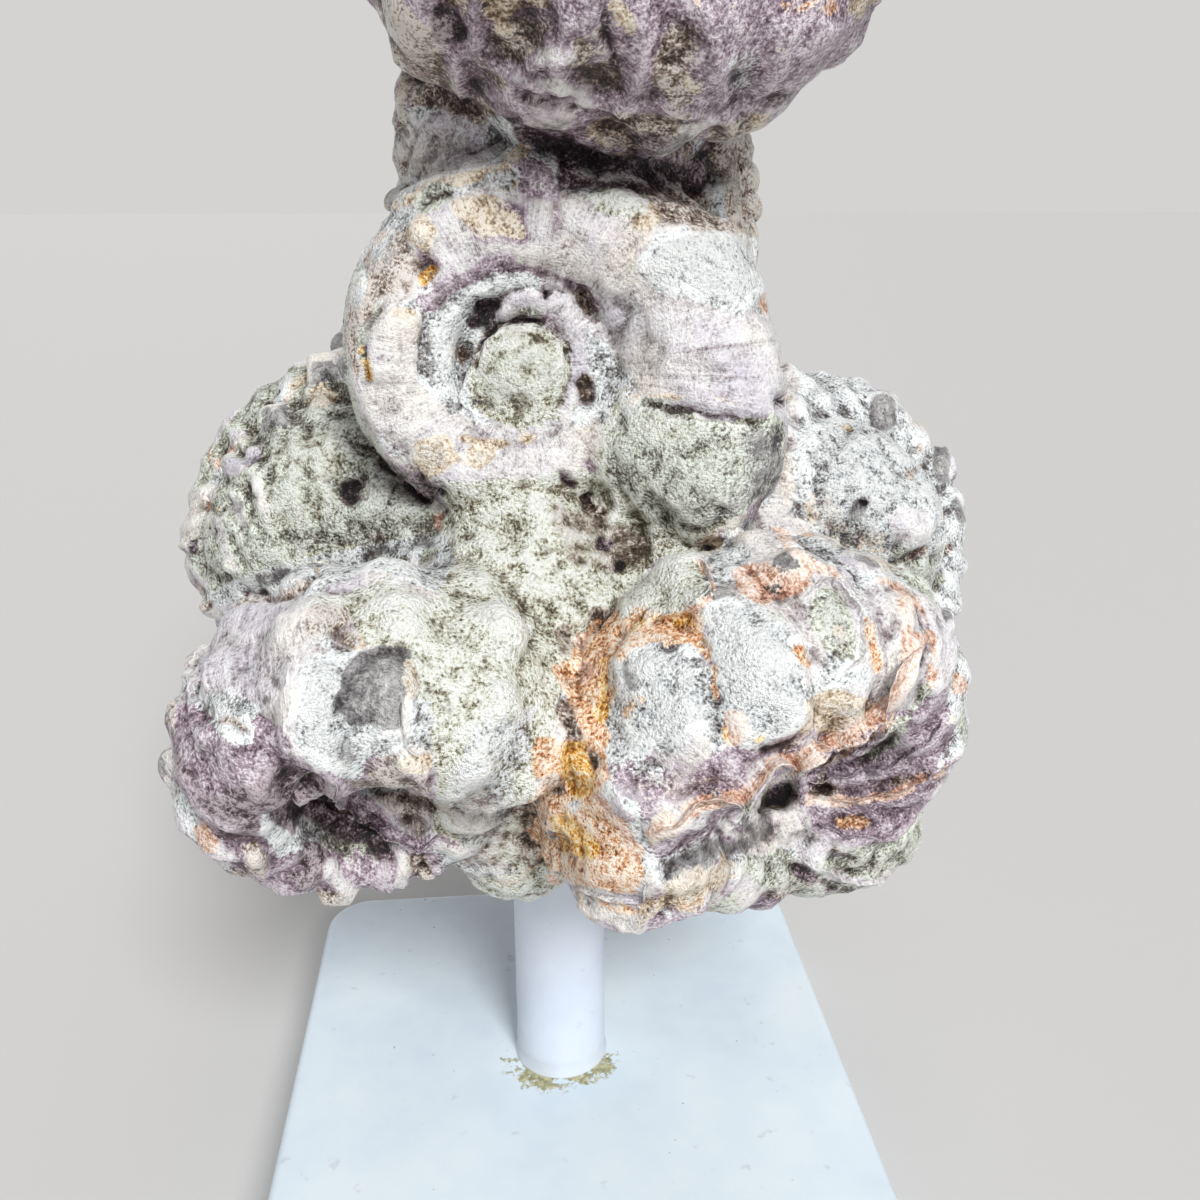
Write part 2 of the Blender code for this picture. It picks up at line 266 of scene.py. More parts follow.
MARKS = {
    "middle": [
        patch("sandstone", (440, 485), (480, 472), (560, 470), (610, 480), (640, 540), (700, 545),
              (705, 585), (640, 625), (600, 610), (560, 700), (540, 780), (520, 870), (470, 880),
              (432, 850), (440, 760), (425, 700), (430, 620), (455, 560)),
        patch("brown", (545, 500), (600, 500), (650, 535), (665, 562), (620, 582), (560, 560), amount=0.58,
              torn=12),
        spot("dark", 6, (601, 545), lift=-1),
        spot("dark", 5, (583, 562), lift=-0.8),
        spot("dark", 4, (622, 569), lift=-0.8),
        spot("dark", 3, (608, 573), lift=-0.7),
        line("brown", 4, (520, 484), (560, 490), (600, 512), lift=-0.6, amount=0.7),
        patch("pepper", (470, 720), (540, 700), (520, 800), (500, 850), (450, 850), (450, 770), amount=0.6),
    ],
    "lower left": [
        patch("nacre", (197, 622), (214, 612), (250, 602), (300, 600), (306, 612), (300, 645), (294, 680),
              (280, 712), (240, 716), (215, 702), (200, 690), (186, 700), (178, 660), (184, 632)),
        patch("pepper", (205, 594), (232, 580), (256, 567), (311, 555), (375, 541), (421, 533), (445, 540),
              (420, 556), (370, 570), (330, 585), (300, 592), (275, 597), (247, 592), (215, 606)),
        line("grey", 4, (262, 580), (320, 564), (375, 553), (430, 545), amount=0.8),
        line("brown", 3.5, (246, 595), (275, 600), (296, 591), (318, 572), lift=-1.2, soft=4),
        patch("sandstone", (330, 600), (390, 580), (430, 600), (440, 660), (425, 700), (405, 690),
              (395, 650), (360, 640), (345, 615)),
        patch("brown", (175, 612), (190, 604), (208, 604), (208, 628), (196, 634), (182, 640), (174, 634),
              lift=0.9),
        line("brown", 11, (163, 664), (164, 684), lift=2, soft=5, torn=2),
        patch("brown", (304, 608), (322, 600), (346, 606), (350, 622), (336, 630), (330, 646), (312, 648),
              (303, 632), lift=1.4, soft=5, torn=2),
        patch("pepper", (308, 628), (328, 628), (330, 644), (312, 646), amount=0.7),
        spot("tan", 8, (356, 644), lift=0.8),
        spot("brown", 6, (350, 640)),
        patch("pepper", (304, 652), (333, 650), (354, 656), (395, 660), (408, 700), (408, 728), (401, 735),
              (364, 757), (357, 773), (333, 776), (304, 762), (289, 744), (288, 710), (296, 676), lift=1.3,
              soft=12),
        patch("grey", (354, 658), (385, 645), (411, 650), (409, 686), (406, 733), (380, 731), (354, 720),
              (338, 702), (343, 676), torn=2),
        patch("grey", (304, 700), (345, 700), (357, 757), (335, 772), (300, 760), (289, 744), amount=0.42,
              torn=16),
        line("tan", 5, (409, 664), (412, 696), lift=0.7),
        line("nacre", 2.5, (404, 700), (404, 728), (410, 748), (421, 757), torn=1, ledge=0.8),
        patch("brown", (372, 757), (400, 745), (430, 757), (436, 790), (432, 835), (420, 850), (395, 826),
              (366, 795), (362, 770), amount=0.55),
        line("tan", 7, (405, 764), (421, 766), lift=1.4, soft=4),
        line("lavender", 3, (192, 628), (190, 655), (194, 690), (200, 715), (210, 742), lift=1.2, soft=4),
        line("nacre", 3, (203, 640), (206, 670), (208, 700), lift=0.6, soft=4),
        line("nacre", 3.5, (300, 606), (294, 640), (290, 680), (287, 716), (292, 750), lift=0.5, ledge=0.7),
        spot("grey", 8, (268, 701), lift=0.6),
        line("nacre", 2.5, (258, 693), (268, 686), (279, 694), lift=1, soft=3),
        patch("pepper", (205, 692), (230, 690), (262, 708), (266, 735), (250, 748), (225, 748), (206, 725)),
        line("brown", 4, (214, 715), (236, 722), (258, 735), amount=0.8, lift=-0.4),
        patch("lavender", (258, 715), (285, 735), (300, 762), (333, 780), (370, 800), (393, 832),
              (422, 852), (470, 852), (450, 880), (330, 917), (250, 872), (188, 800), (165, 735),
              (210, 745), (250, 752)),
        # darker underside of the lower left shell: partly dark plum stone, partly painted shade
        patch("dark", (165, 740), (210, 770), (260, 760), (330, 790), (395, 845), (440, 860), (420, 885),
              (330, 915), (250, 870), (190, 800), amount=0.64, torn=14),
        patch("dark", (270, 757), (300, 770), (333, 791), (370, 812), (392, 836), (360, 822), (320, 806),
              (285, 785), amount=0.8, lift=-1.5),
        line("dark", 6, (165, 700), (168, 720), (178, 745), (190, 775), amount=0.8),
        patch("brown", (152, 660), (180, 606), (212, 602), (198, 640), (186, 690), (202, 728), (184, 760),
              (164, 710), amount=0.6, torn=12),
        patch("lavender", (180, 690), (204, 716), (232, 752), (262, 766), (240, 800), (200, 790),
              (178, 745), amount=0.75, torn=10),
        # dark in the cavity: partly dark plum stone, partly painted shade inside it
        patch("dark", (276, 788), (300, 786), (335, 796), (375, 818), (398, 840), (396, 855), (372, 864),
              (340, 858), (312, 842), (290, 815), lift=-2, soft=14, torn=6, amount=0.85),
        patch("moss", (300, 836), (330, 836), (366, 846), (384, 860), (350, 874), (322, 864), amount=0.75,
              torn=10),
        patch("pepper", (300, 816), (322, 822), (318, 842), (298, 838), amount=0.7, torn=8),
        line("lavender", 4.5, (333, 778), (343, 797), (367, 813), (390, 830), (403, 842), (422, 850),
             (437, 836), (456, 848), lift=0.9, torn=2, ledge=1.6),
        patch("dark", (222, 790), (242, 788), (246, 802), (230, 804), lift=0.5, torn=2),
        patch("dark", (243, 800), (262, 786), (266, 800), (254, 812), lift=0.5, torn=2),
        patch("lavender", (240, 850), (330, 850), (400, 866), (440, 880), (400, 915), (330, 917),
              (260, 890), amount=0.6, torn=14),
        spot("dark", 8, (277, 820), lift=-0.8),
        patch("dark", (292, 846), (316, 842), (330, 862), (322, 878), (306, 866), lift=0.6, torn=2),
        patch("dark", (290, 874), (312, 870), (316, 888), (298, 888), lift=0.6, torn=2),
        patch("brown", (318, 892), (345, 890), (356, 906), (338, 916), (322, 908), lift=1.2, torn=2),
        patch("brown", (243, 846), (256, 842), (268, 862), (264, 878), (250, 872), lift=1.5, torn=2),
        patch("pepper", (265, 815), (290, 830), (300, 846), (280, 856), (262, 836), amount=0.8),
        line("nacre", 6, (330, 866), (340, 884), (360, 900), lift=0.9, soft=5),
        line("nacre", 4, (396, 848), (405, 872), (398, 890), lift=0.9, soft=5),
        line("brown", 8, (418, 862), (426, 878), lift=-2, soft=5),
        patch("pepper", (432, 845), (480, 850), (520, 870), (470, 884), (440, 880), amount=0.7),
        patch("brown", (436, 796), (500, 790), (536, 810), (530, 866), (480, 886), (440, 872), amount=0.46,
              torn=16),
        line("dark", 4, (435, 862), (460, 872), (445, 884), amount=0.7, lift=-0.6),
    ],
    "lower right": [
        patch("pepper", (620, 650), (655, 632), (697, 640), (712, 690), (702, 735), (650, 748), (618, 722),
              lift=1.0, soft=16),
        patch("pepper", (705, 602), (745, 598), (785, 618), (806, 655), (818, 682), (805, 720), (790, 735),
              (750, 752), (728, 742), (722, 700), (706, 640), lift=1.3, soft=16),
        patch("pepper", (600, 728), (645, 735), (640, 765), (610, 775), (598, 750), amount=0.9),
        patch("lavender", (605, 765), (660, 752), (700, 752), (765, 750), (745, 785), (700, 800),
              (655, 812), (640, 850), (615, 830), (600, 800), amount=0.5, torn=14),
        patch("brown", (612, 775), (660, 765), (720, 770), (700, 795), (650, 805), (625, 815), amount=0.45,
              torn=12),
        line("dark", 4, (762, 748), (778, 742), (800, 735), amount=0.8, lift=-0.8),
        patch("sandstone", (620, 575), (690, 555), (706, 590), (690, 612), (650, 618), (618, 610),
              lift=0.6),
        line("coral", 4, (698, 560), (711, 580), (712, 595), (700, 606), (678, 616), (655, 620), lift=0.4,
             ledge=1.1),
        patch("rust", (628, 624), (655, 618), (700, 625), (712, 650), (722, 700), (714, 700), (704, 662),
              (690, 645), (660, 640), (640, 648), (625, 640), amount=0.9),
        spot("grey", 8, (672, 643)),
        line("rust", 3, (704, 640), (712, 665), (717, 692), lift=-0.5),
        patch("brown", (596, 612), (616, 605), (626, 630), (618, 655), (600, 650), (592, 632), lift=-0.8,
              amount=0.8),
        patch("brown", (552, 650), (580, 610), (620, 598), (650, 625), (632, 712), (612, 735), (606, 790),
              (640, 840), (640, 900), (590, 895), (550, 885), (522, 850), (520, 800), (548, 765),
              (562, 730), (560, 690), amount=0.6, torn=16),
        patch("rust", (556, 670), (590, 625), (640, 605), (706, 618), (700, 640), (648, 640), (628, 665),
              (632, 712), (608, 735), (606, 790), (640, 830), (648, 870), (630, 900), (590, 892),
              (555, 880), (532, 850), (530, 800), (552, 770), (568, 735), amount=0.88, torn=12),
        patch("rust", (578, 655), (600, 645), (622, 655), (626, 690), (612, 715), (598, 728), (584, 712),
              (574, 684), amount=0.9),
        patch("grey", (612, 660), (640, 660), (640, 690), (620, 700), amount=0.5),
        spot("amber", 8, (600, 716)),
        spot("rust", 6, (640, 700), amount=0.7),
        line("amber", 5, (604, 650), (600, 680), (604, 712), amount=0.8, torn=10),
        line("amber", 4, (632, 622), (668, 616), (700, 628), amount=0.7, torn=10),
        line("coral", 6, (582, 640), (590, 668), (588, 700), amount=0.8, torn=10),
        line("pepper", 5, (618, 668), (622, 700), (614, 730), amount=0.8, torn=8),
        line("brown", 9, (562, 706), (576, 735), (594, 762), amount=0.9, lift=-0.6),
        patch("brown", (540, 745), (590, 775), (606, 800), (640, 852), (622, 885), (575, 893), (548, 884),
              (530, 850), (522, 800), amount=0.55),
        patch("rust", (548, 800), (590, 800), (612, 820), (636, 850), (625, 880), (600, 886), (565, 880),
              (538, 850), amount=0.9),
        patch("coral", (722, 706), (744, 710), (754, 736), (738, 748), (722, 742), amount=0.9, lift=0.5,
              torn=3),
        spot("amber", 6, (758, 738), torn=3),
        line("amber", 3, (724, 738), (722, 716), torn=3),
        patch("amber", (562, 744), (582, 740), (594, 768), (592, 796), (574, 800), (562, 776), lift=-0.8,
              torn=5),
        spot("pepper", 5, (574, 806)),
        spot("amber", 5, (582, 790), lift=0.4),
        line("rust", 7, (548, 748), (540, 790), (536, 830), amount=0.8, torn=12),
        line("coral", 5, (600, 800), (622, 826), (634, 860), amount=0.8, torn=10),
        line("pepper", 5, (604, 790), (628, 806), (642, 836), amount=0.7, torn=10),
        patch("amber", (545, 818), (566, 815), (590, 835), (606, 850), (588, 862), (560, 850), lift=-0.8,
              amount=0.9, torn=5),
        line("dark", 3, (542, 815), (556, 842), (575, 858), amount=0.9, lift=-0.8),
        patch("coral", (545, 875), (585, 890), (630, 890), (655, 905), (645, 928), (600, 918), (555, 900),
              amount=0.75),
        patch("rust", (545, 868), (600, 888), (650, 888), (657, 914), (632, 932), (575, 916), amount=0.66,
              torn=12),
        line("brown", 5, (570, 902), (606, 918), (640, 926), amount=0.7),
        line("nacre", 3, (570, 884), (610, 898), (640, 900), (652, 880), ledge=0.7),
        line("nacre", 3, (560, 894), (600, 912), (636, 926), lift=0.6, soft=4),
        line("brown", 4.5, (640, 922), (650, 912), (657, 902), lift=0.8, soft=5),
        patch("rust", (684, 870), (704, 868), (706, 900), (698, 913), (680, 910), (672, 900), lift=1.0,
              torn=2),
        patch("coral", (745, 570), (765, 562), (800, 570), (812, 588), (790, 600), (762, 604), (748, 592)),
        spot("rust", 6, (766, 590), amount=0.8),
        spot("grey", 7, (776, 586), amount=0.8),
        line("coral", 5, (783, 534), (795, 552), (818, 568), (840, 576), lift=0.6),
        line("coral", 4, (745, 585), (735, 575), (750, 566), amount=0.9, lift=0.5),
        patch("nacre", (789, 612), (812, 640), (822, 645), (818, 682), (868, 688), (886, 706), (846, 694),
              (812, 686), (800, 650)),
        patch("rust", (790, 630), (802, 648), (808, 664), (798, 660)),
        patch("moss", (807, 599), (824, 583), (843, 595), (856, 625), (858, 658), (838, 664), (824, 645),
              (811, 629), torn=2),
        patch("tan", (825, 620), (850, 625), (854, 655), (838, 658), amount=0.6),
        line("nacre", 2.5, (806, 596), (824, 578), (848, 592), (861, 622), (862, 660), (846, 672), lift=0.3,
             torn=1, ledge=0.9),
        patch("tan", (804, 704), (818, 692), (838, 687), (866, 698), (885, 710), (866, 724), (836, 736),
              (818, 730), torn=2),
        patch("brown", (830, 700), (866, 702), (876, 712), (850, 722), (830, 722), amount=0.45),
        patch("nacre", (862, 580), (900, 578), (930, 600), (950, 640), (946, 700), (902, 720), (872, 700),
              (866, 640)),
        line("rust", 5, (869, 620), (872, 645), (878, 668), torn=2),
        patch("grey", (890, 616), (898, 618), (897, 642), (890, 640), torn=1),
        line("nacre", 2.5, (884, 622), (890, 612), (900, 612), (902, 640), (894, 648), lift=0.8, soft=3,
             torn=1),
        spot("dark", 4, (888, 586), lift=-0.8),
        spot("rust", 5, (898, 684), amount=0.9),
        line("coral", 4, (880, 580), (896, 582), (905, 604), (908, 650), (900, 690), lift=0.6),
        line("coral", 4, (910, 596), (926, 612), (934, 650), (930, 690), lift=0.6),
        patch("grey", (944, 598), (956, 602), (960, 618), (950, 628), (942, 616), lift=1.2),
        patch("lavender", (798, 765), (850, 730), (905, 706), (948, 690), (952, 745), (925, 810),
              (880, 834), (815, 835), (800, 800)),
        line("coral", 4, (796, 772), (830, 762), (868, 740), (905, 712), (934, 684), lift=0.8, ledge=1.0),
        line("moss", 6, (862, 762), (890, 742), (912, 712), (925, 690), lift=-1.0, soft=5, amount=0.9),
        line("lavender", 5, (806, 782), (850, 776), (890, 764), (930, 740), (946, 716), lift=0.8,
             ledge=1.1),
        line("brown", 3, (815, 776), (855, 768), (890, 752), lift=-0.4, amount=0.7),
        line("coral", 5, (812, 800), (860, 800), (900, 795), (940, 766), lift=0.8, ledge=1.1),
        line("brown", 3, (830, 790), (870, 788), (915, 776), lift=-0.4, amount=0.7),
        line("lavender", 5, (815, 822), (850, 838), (890, 834), (920, 806), lift=0.8, ledge=1.0),
        patch("brown", (812, 784), (824, 780), (832, 790), (824, 798), (812, 796), lift=-1.4),
        patch("rust", (835, 818), (865, 815), (874, 826), (852, 832), (835, 828), lift=-1.2, amount=0.9),
        patch("moss", (744, 854), (777, 846), (807, 862), (836, 856), (896, 845), (909, 862), (890, 889),
              (851, 905), (807, 911), (771, 893), (744, 876)),
        patch("brown", (744, 860), (807, 866), (896, 850), (905, 872), (851, 905), (790, 900), amount=0.42,
              torn=14),
        line("nacre", 4, (800, 858), (840, 878), (880, 884), (900, 872), lift=0.4, ledge=0.8),
        line("dark", 4, (795, 868), (830, 888), (865, 894), lift=-0.9),
        line("brown", 4, (770, 892), (810, 908), (850, 904), amount=0.9),
        patch("tan", (655, 885), (690, 856), (745, 852), (742, 876), (712, 890), (690, 905), (655, 908),
              amount=0.6),
        patch("grey", (660, 862), (690, 836), (735, 818), (772, 800), (782, 830), (770, 850), (742, 856),
              (700, 862), (670, 880), lift=-1.2, soft=10, amount=0.6, torn=12),
        patch("lavender", (705, 818), (735, 812), (744, 830), (730, 842), (708, 834), lift=-0.5,
              amount=0.7),
        line("nacre", 1.8, (722, 822), (728, 832), (738, 836), lift=0.8, soft=2, torn=1),
        line("tan", 5, (644, 915), (654, 870), (652, 836), lift=0.3, soft=9, amount=0.5),
        line("coral", 6, (653, 832), (676, 827), (691, 806), (718, 799), (744, 797), (762, 777), (774, 761),
             (795, 765), (815, 747), (851, 732), (890, 703), (904, 676), (920, 640), lift=1.0, soft=7,
             torn=2, ledge=2.0),
        line("coral", 3.5, (664, 828), (682, 822), (700, 808), (720, 804), torn=1),
        line("coral", 3, (790, 764), (818, 748), (852, 734), (888, 706), torn=1),
        patch("dark", (766, 784), (790, 780), (796, 795), (784, 808), (768, 804), lift=-3.5, soft=9,
              torn=5),
    ],
    "front": [
        patch("nacre", (437, 214), (455, 198), (500, 188), (560, 190), (600, 200), (640, 228), (636, 262),
              (657, 293), (620, 322), (612, 352), (590, 330), (575, 295), (540, 280), (500, 272),
              (470, 285), (450, 270), (440, 240)),
        line("lavender", 9, (470, 275), (500, 266), (540, 270), (575, 284), (598, 308), amount=0.7),
        patch("tan", (451, 199), (492, 192), (514, 202), (516, 217), (528, 240), (513, 243), (504, 237),
              (484, 243), (469, 233), (466, 220), (454, 214), lift=0.3, torn=1),
        line("tan", 5, (519, 214), (523, 238), torn=1),
        line("tan", 4, (556, 208), (558, 224), amount=0.8),
        patch("pepper", (639, 256), (657, 235), (692, 226), (718, 226), (751, 235), (766, 258), (764, 290),
              (740, 318), (715, 308), (689, 299), (657, 293), (636, 273), lift=0.6, soft=6, torn=2),
        line("dark", 1.4, (656, 236), (640, 256), (638, 268), (648, 284), torn=1),
        line("dark", 1.4, (706, 300), (722, 316), torn=1),
        line("grey", 1.5, (762, 240), (756, 280), torn=1),
        patch("nacre", (612, 352), (633, 318), (692, 308), (718, 312), (765, 325), (792, 340), (793, 369),
              (780, 396), (765, 402), (754, 417), (730, 412), (712, 412), (695, 405), (668, 403),
              (651, 402), (636, 384), (622, 364), lift=0.5, soft=4, torn=2),
        line("dark", 2.4, (646, 402), (668, 407), (695, 410), (712, 417), (730, 417), (752, 422), lift=-1.2,
             soft=2.5, torn=1),
        spot("dark", 7, (777, 403), lift=-1.8, soft=4),
        line("nacre", 3, (768, 402), (768, 416), lift=0.6),
        spot("coral", 5, (715, 361), lift=0.9, torn=1),
        spot("nacre", 11, (715, 360), lift=0.8, amount=0.4),
        line("coral", 3, (660, 340), (700, 330), (750, 340), (778, 360), amount=0.55),
        line("tan", 2.5, (650, 396), (700, 398), (748, 405), amount=0.9, torn=1),
        patch("moss", (642, 403), (613, 428), (604, 463), (613, 490), (636, 513), (663, 531), (692, 535),
              (730, 523), (765, 500), (790, 463), (790, 428), (778, 412), (752, 422), (712, 417),
              (668, 407)),
        patch("sandstone", (630, 420), (660, 412), (700, 425), (690, 445), (650, 450), amount=0.55),
        patch("grey", (740, 430), (785, 430), (788, 463), (765, 499), (730, 520), (690, 530), (730, 490),
              (745, 460), amount=0.55),
        patch("nacre", (390, 306), (419, 316), (416, 346), (417, 381), (372, 381), (367, 358), (372, 334),
              lift=0.9, soft=3, torn=1),
        line("tan", 5, (396, 313), (412, 313), torn=1),
        line("dark", 1.5, (372, 383), (395, 384), (417, 384), torn=1, amount=0.7),
        patch("nacre", (367, 385), (417, 383), (440, 420), (455, 432), (500, 450), (575, 440), (590, 450),
              (560, 470), (520, 478), (470, 482), (430, 472), (395, 440), (376, 412)),
        patch("tan", (416, 440), (440, 436), (452, 445), (445, 468), (430, 480), (414, 462), lift=0.4),
        patch("tan", (455, 455), (480, 448), (495, 455), (478, 466)),
        line("tan", 4, (462, 436), (500, 444), (530, 438)),
        line("pepper", 12, (462, 402), (447, 372), (446, 336), (468, 303), (500, 286), (532, 284), lift=1.0,
             soft=6),
        line("nacre", 8, (552, 286), (568, 310), (579, 345), (580, 370), (571, 402), (566, 432), lift=0.6),
        spot("sandstone", 49, (519, 369), lift=0.2, soft=5, torn=2),
        spot("moss", 44, (519, 372), amount=0.5, torn=14),
        patch("lavender", (470, 205), (560, 192), (620, 206), (640, 240), (600, 290), (575, 290),
              (520, 262), (470, 268), amount=0.36, torn=16),
        patch("brown", (480, 350), (500, 328), (540, 325), (560, 345), (540, 354), (500, 360), amount=0.42),
        line("dark", 2.5, (474, 366), (482, 340), (500, 325), (520, 319), (542, 323), lift=-1.2, soft=3,
             torn=1),
        line("dark", 2.5, (566, 350), (570, 380), (560, 405), lift=-0.8, soft=3, torn=1, amount=0.6),
        line("nacre", 6, (500, 314), (512, 300), (532, 296), (550, 304), lift=0.9, soft=4),
        line("dark", 2, (543, 286), (547, 300), lift=-1, soft=2, torn=1),
        patch("dark", (474, 300), (490, 293), (504, 302), (498, 318), (486, 331), (472, 322), lift=-1.5,
              soft=4, torn=9, amount=0.8),
        spot("brown", 11, (463, 353), lift=-1.0, soft=4, torn=8, amount=0.9),
        patch("brown", (571, 284), (583, 290), (597, 310), (595, 322), (582, 314), lift=-1.2, soft=5,
              torn=10, amount=0.8),
        line("brown", 7, (584, 384), (586, 397), lift=-1.4, soft=4, torn=9, amount=0.8),
        spot("pepper", 11, (581, 419), lift=0.6),
        spot("grey", 4, (574, 424)),
        spot("grey", 3, (588, 412)),
        patch("dark", (414, 262), (428, 257), (437, 270), (432, 285), (417, 281), lift=-1.8, soft=5, torn=9,
              amount=0.8),
        spot("amber", 5, (424, 279)),
        spot("amber", 3, (431, 270)),
        line("brown", 7, (404, 240), (392, 262), (376, 290), (362, 316)),
        line("amber", 4, (363, 350), (370, 378), lift=-1, torn=2),
        line("brown", 4, (352, 310), (350, 345), (357, 372)),
        patch("pepper", (352, 300), (362, 262), (385, 232), (410, 225), (415, 250), (395, 270), (380, 300),
              (360, 312), amount=0.72),
        patch("brown", (350, 318), (360, 264), (386, 232), (412, 226), (428, 258), (414, 288), (386, 304),
              (366, 322), amount=0.6, torn=14),
        line("lavender", 4, (425, 300), (442, 285), (456, 262), amount=0.8, lift=0.5),
        line("dark", 3.5, (420, 480), (432, 494), (442, 492), lift=-1.4),
        line("dark", 3.5, (560, 476), (574, 485), lift=-1.2),
    ],
    "side left": [
        patch("moss", (190, 565), (195, 540), (211, 500), (245, 445), (273, 408), (320, 378), (345, 360),
              (352, 400), (372, 440), (400, 480), (428, 505), (430, 530), (375, 541), (311, 555),
              (256, 567), (215, 590)),
        patch("sandstone", (285, 430), (340, 420), (345, 470), (330, 520), (280, 540), (250, 520),
              amount=0.5),
        patch("moss", (369, 464), (385, 470), (421, 511), (408, 535), (378, 538), (358, 515), lift=2.2,
              soft=12),
        patch("dark", (340, 480), (362, 478), (368, 500), (352, 508), (338, 500), lift=-1, amount=0.75),
        spot("brown", 8, (300, 530), amount=0.7),
        spot("brown", 6, (378, 535), amount=0.7),
        patch("grey", (313, 361), (345, 359), (346, 380), (313, 383), lift=2, soft=5, torn=1),
        spot("tan", 13, (321, 396), lift=1.6),
        patch("grey", (262, 410), (288, 406), (290, 425), (262, 432), lift=2, soft=4, torn=1),
        spot("brown", 6, (246, 445), lift=1.6),
        spot("nacre", 6, (256, 453)),
        spot("nacre", 8, (233, 467), lift=1.6),
        spot("brown", 6, (210, 498), lift=1.5),
        spot("rust", 4, (215, 510)),
        spot("dark", 5, (194, 545), lift=1.5),
        line("nacre", 3.5, (249, 453), (256, 485), (264, 508), lift=0.9, soft=5),
        line("nacre", 3.5, (232, 493), (240, 515), (252, 533), lift=0.9, soft=5),
        line("nacre", 3.5, (214, 520), (224, 545), (232, 568), lift=0.8, soft=5),
        line("dark", 3.5, (385, 465), (405, 481), (427, 500), lift=-1.8, soft=5),
    ],
    "side right": [
        patch("pepper", (795, 365), (820, 372), (850, 362), (868, 385), (905, 420), (945, 455), (962, 500),
              (978, 560), (955, 615), (935, 600), (905, 580), (880, 560), (830, 540), (800, 520),
              (792, 480), (798, 420), amount=0.9),
        patch("tan", (800, 480), (830, 490), (880, 520), (905, 545), (930, 565), (920, 590), (880, 570),
              (830, 545), (800, 525), amount=0.5),
        patch("moss", (890, 540), (940, 550), (950, 580), (930, 600), (895, 575), amount=0.6),
        spot("grey", 7, (841, 368), lift=1.5, torn=1),
        patch("grey", (870, 400), (880, 393), (894, 400), (897, 425), (885, 432), (870, 425), lift=1.3,
              soft=6, torn=1),
        patch("grey", (934, 446), (945, 440), (951, 460), (948, 482), (938, 482), (932, 465), lift=1.3,
              soft=6, torn=1),
        line("grey", 4, (954, 498), (962, 520), lift=1, torn=1),
        patch("grey", (972, 550), (981, 552), (982, 568), (975, 580), (970, 568), lift=1.5, soft=4, torn=1),
        spot("nacre", 19, (912, 526), lift=1.8, soft=10),
        spot("dark", 3, (916, 539), lift=-0.7),
        line("brown", 4, (898, 563), (925, 550), lift=-1.2),
        line("brown", 3, (935, 558), (950, 548), lift=-0.8),
        spot("grey", 11, (857, 510), amount=0.8),
        spot("dark", 4, (865, 502), lift=-1),
        spot("brown", 5, (782, 366), lift=-1.2),
        spot("brown", 4, (809, 458)),
        spot("grey", 5, (799, 487), lift=-0.6),
        spot("tan", 4, (849, 429)),
        spot("brown", 4, (918, 449)),
        spot("brown", 5, (912, 472), amount=0.8),
        line("rust", 3, (804, 531), (815, 526)),
        spot("rust", 4, (864, 549)),
    ],
    "neck": [
        patch("pepper", (394, 204), (386, 160), (398, 112), (440, 100), (480, 112), (512, 118), (517, 150),
              (500, 175), (470, 190), (430, 200)),
        patch("nacre", (398, 160), (402, 118), (440, 108), (480, 118), (500, 150), (470, 180), (420, 196),
              amount=0.8, torn=12),
        line("brown", 6, (398, 110), (392, 140), (386, 172), (384, 205)),
        spot("brown", 8, (403, 122), lift=0.7),
        spot("brown", 8, (402, 170), amount=0.8),
        line("tan", 7, (394, 206), (430, 190), (470, 177), (505, 166), (525, 152), lift=1.0),
        line("moss", 8, (424, 201), (444, 192), lift=-0.6),
        spot("tan", 13, (421, 232), lift=1.0),
        patch("lavender", (520, 160), (545, 158), (556, 172), (556, 197), (520, 197), torn=2),
        spot("tan", 8, (513, 180)),
        spot("moss", 6, (545, 184)),
        # painted shadow under the crown's overhang, over dark brown sandstone
        patch("dark", (500, 112), (540, 130), (600, 150), (680, 165), (712, 140), (715, 180), (700, 205),
              (650, 195), (600, 188), (560, 190), (556, 160), (520, 140), lift=-1),
        patch("brown", (650, 195), (700, 188), (712, 210), (740, 230), (700, 232), (655, 222), amount=0.9),
        patch("sandstone", (588, 197), (612, 193), (640, 200), (646, 214), (622, 222), (600, 212),
              lift=0.6),
        patch("tan", (632, 216), (650, 207), (658, 222), (646, 236), (630, 232), amount=0.8, lift=0.4),
        patch("brown", (712, 120), (773, 108), (775, 180), (768, 215), (752, 234), (735, 228), (718, 200),
              (706, 160), amount=0.9, lift=1.2, soft=24),
        line("tan", 5, (758, 120), (764, 200), amount=0.8),
        spot("amber", 4, (752, 146), amount=0.8),
        line("pepper", 5, (714, 165), (723, 215), amount=0.6),
    ],
    "crown": [
        patch("brown", (374, 0), (402, 0), (436, 40), (455, 80), (478, 100), (500, 112), (480, 122),
              (440, 110), (412, 106), (392, 60), amount=0.9),
        patch("lavender", (765, 30), (800, 12), (850, 15), (864, 45), (835, 78), (790, 94), (768, 78),
              lift=0.8, soft=18),
        patch("pepper", (700, 48), (760, 50), (765, 92), (715, 98), amount=0.45),
        patch("coral", (690, 0), (760, 0), (745, 16), (705, 14), amount=0.62),
        patch("rust", (775, 0), (830, 0), (804, 14), (780, 18), amount=0.75),
        patch("brown", (487, 22), (513, 10), (537, 28), (539, 52), (518, 68), (497, 60), (484, 42),
              lift=-0.7, soft=13, amount=0.75),
        spot("tan", 8, (503, 30), lift=0.6),
        spot("amber", 4, (509, 19)),
        spot("tan", 5, (497, 46)),
        line("dark", 8, (440, 8), (464, 36), lift=-1.0),
        patch("brown", (575, 40), (600, 22), (622, 45), (626, 85), (605, 101), (582, 85), lift=-0.7,
              soft=13, amount=0.45),
        line("dark", 3, (603, 8), (610, 40), (619, 64), lift=-0.8, soft=6),
        line("nacre", 4, (534, 61), (556, 54), (572, 58), lift=1.2, soft=4),
        patch("brown", (663, 20), (690, 12), (706, 45), (702, 78), (680, 90), (660, 60), lift=-0.7, soft=13,
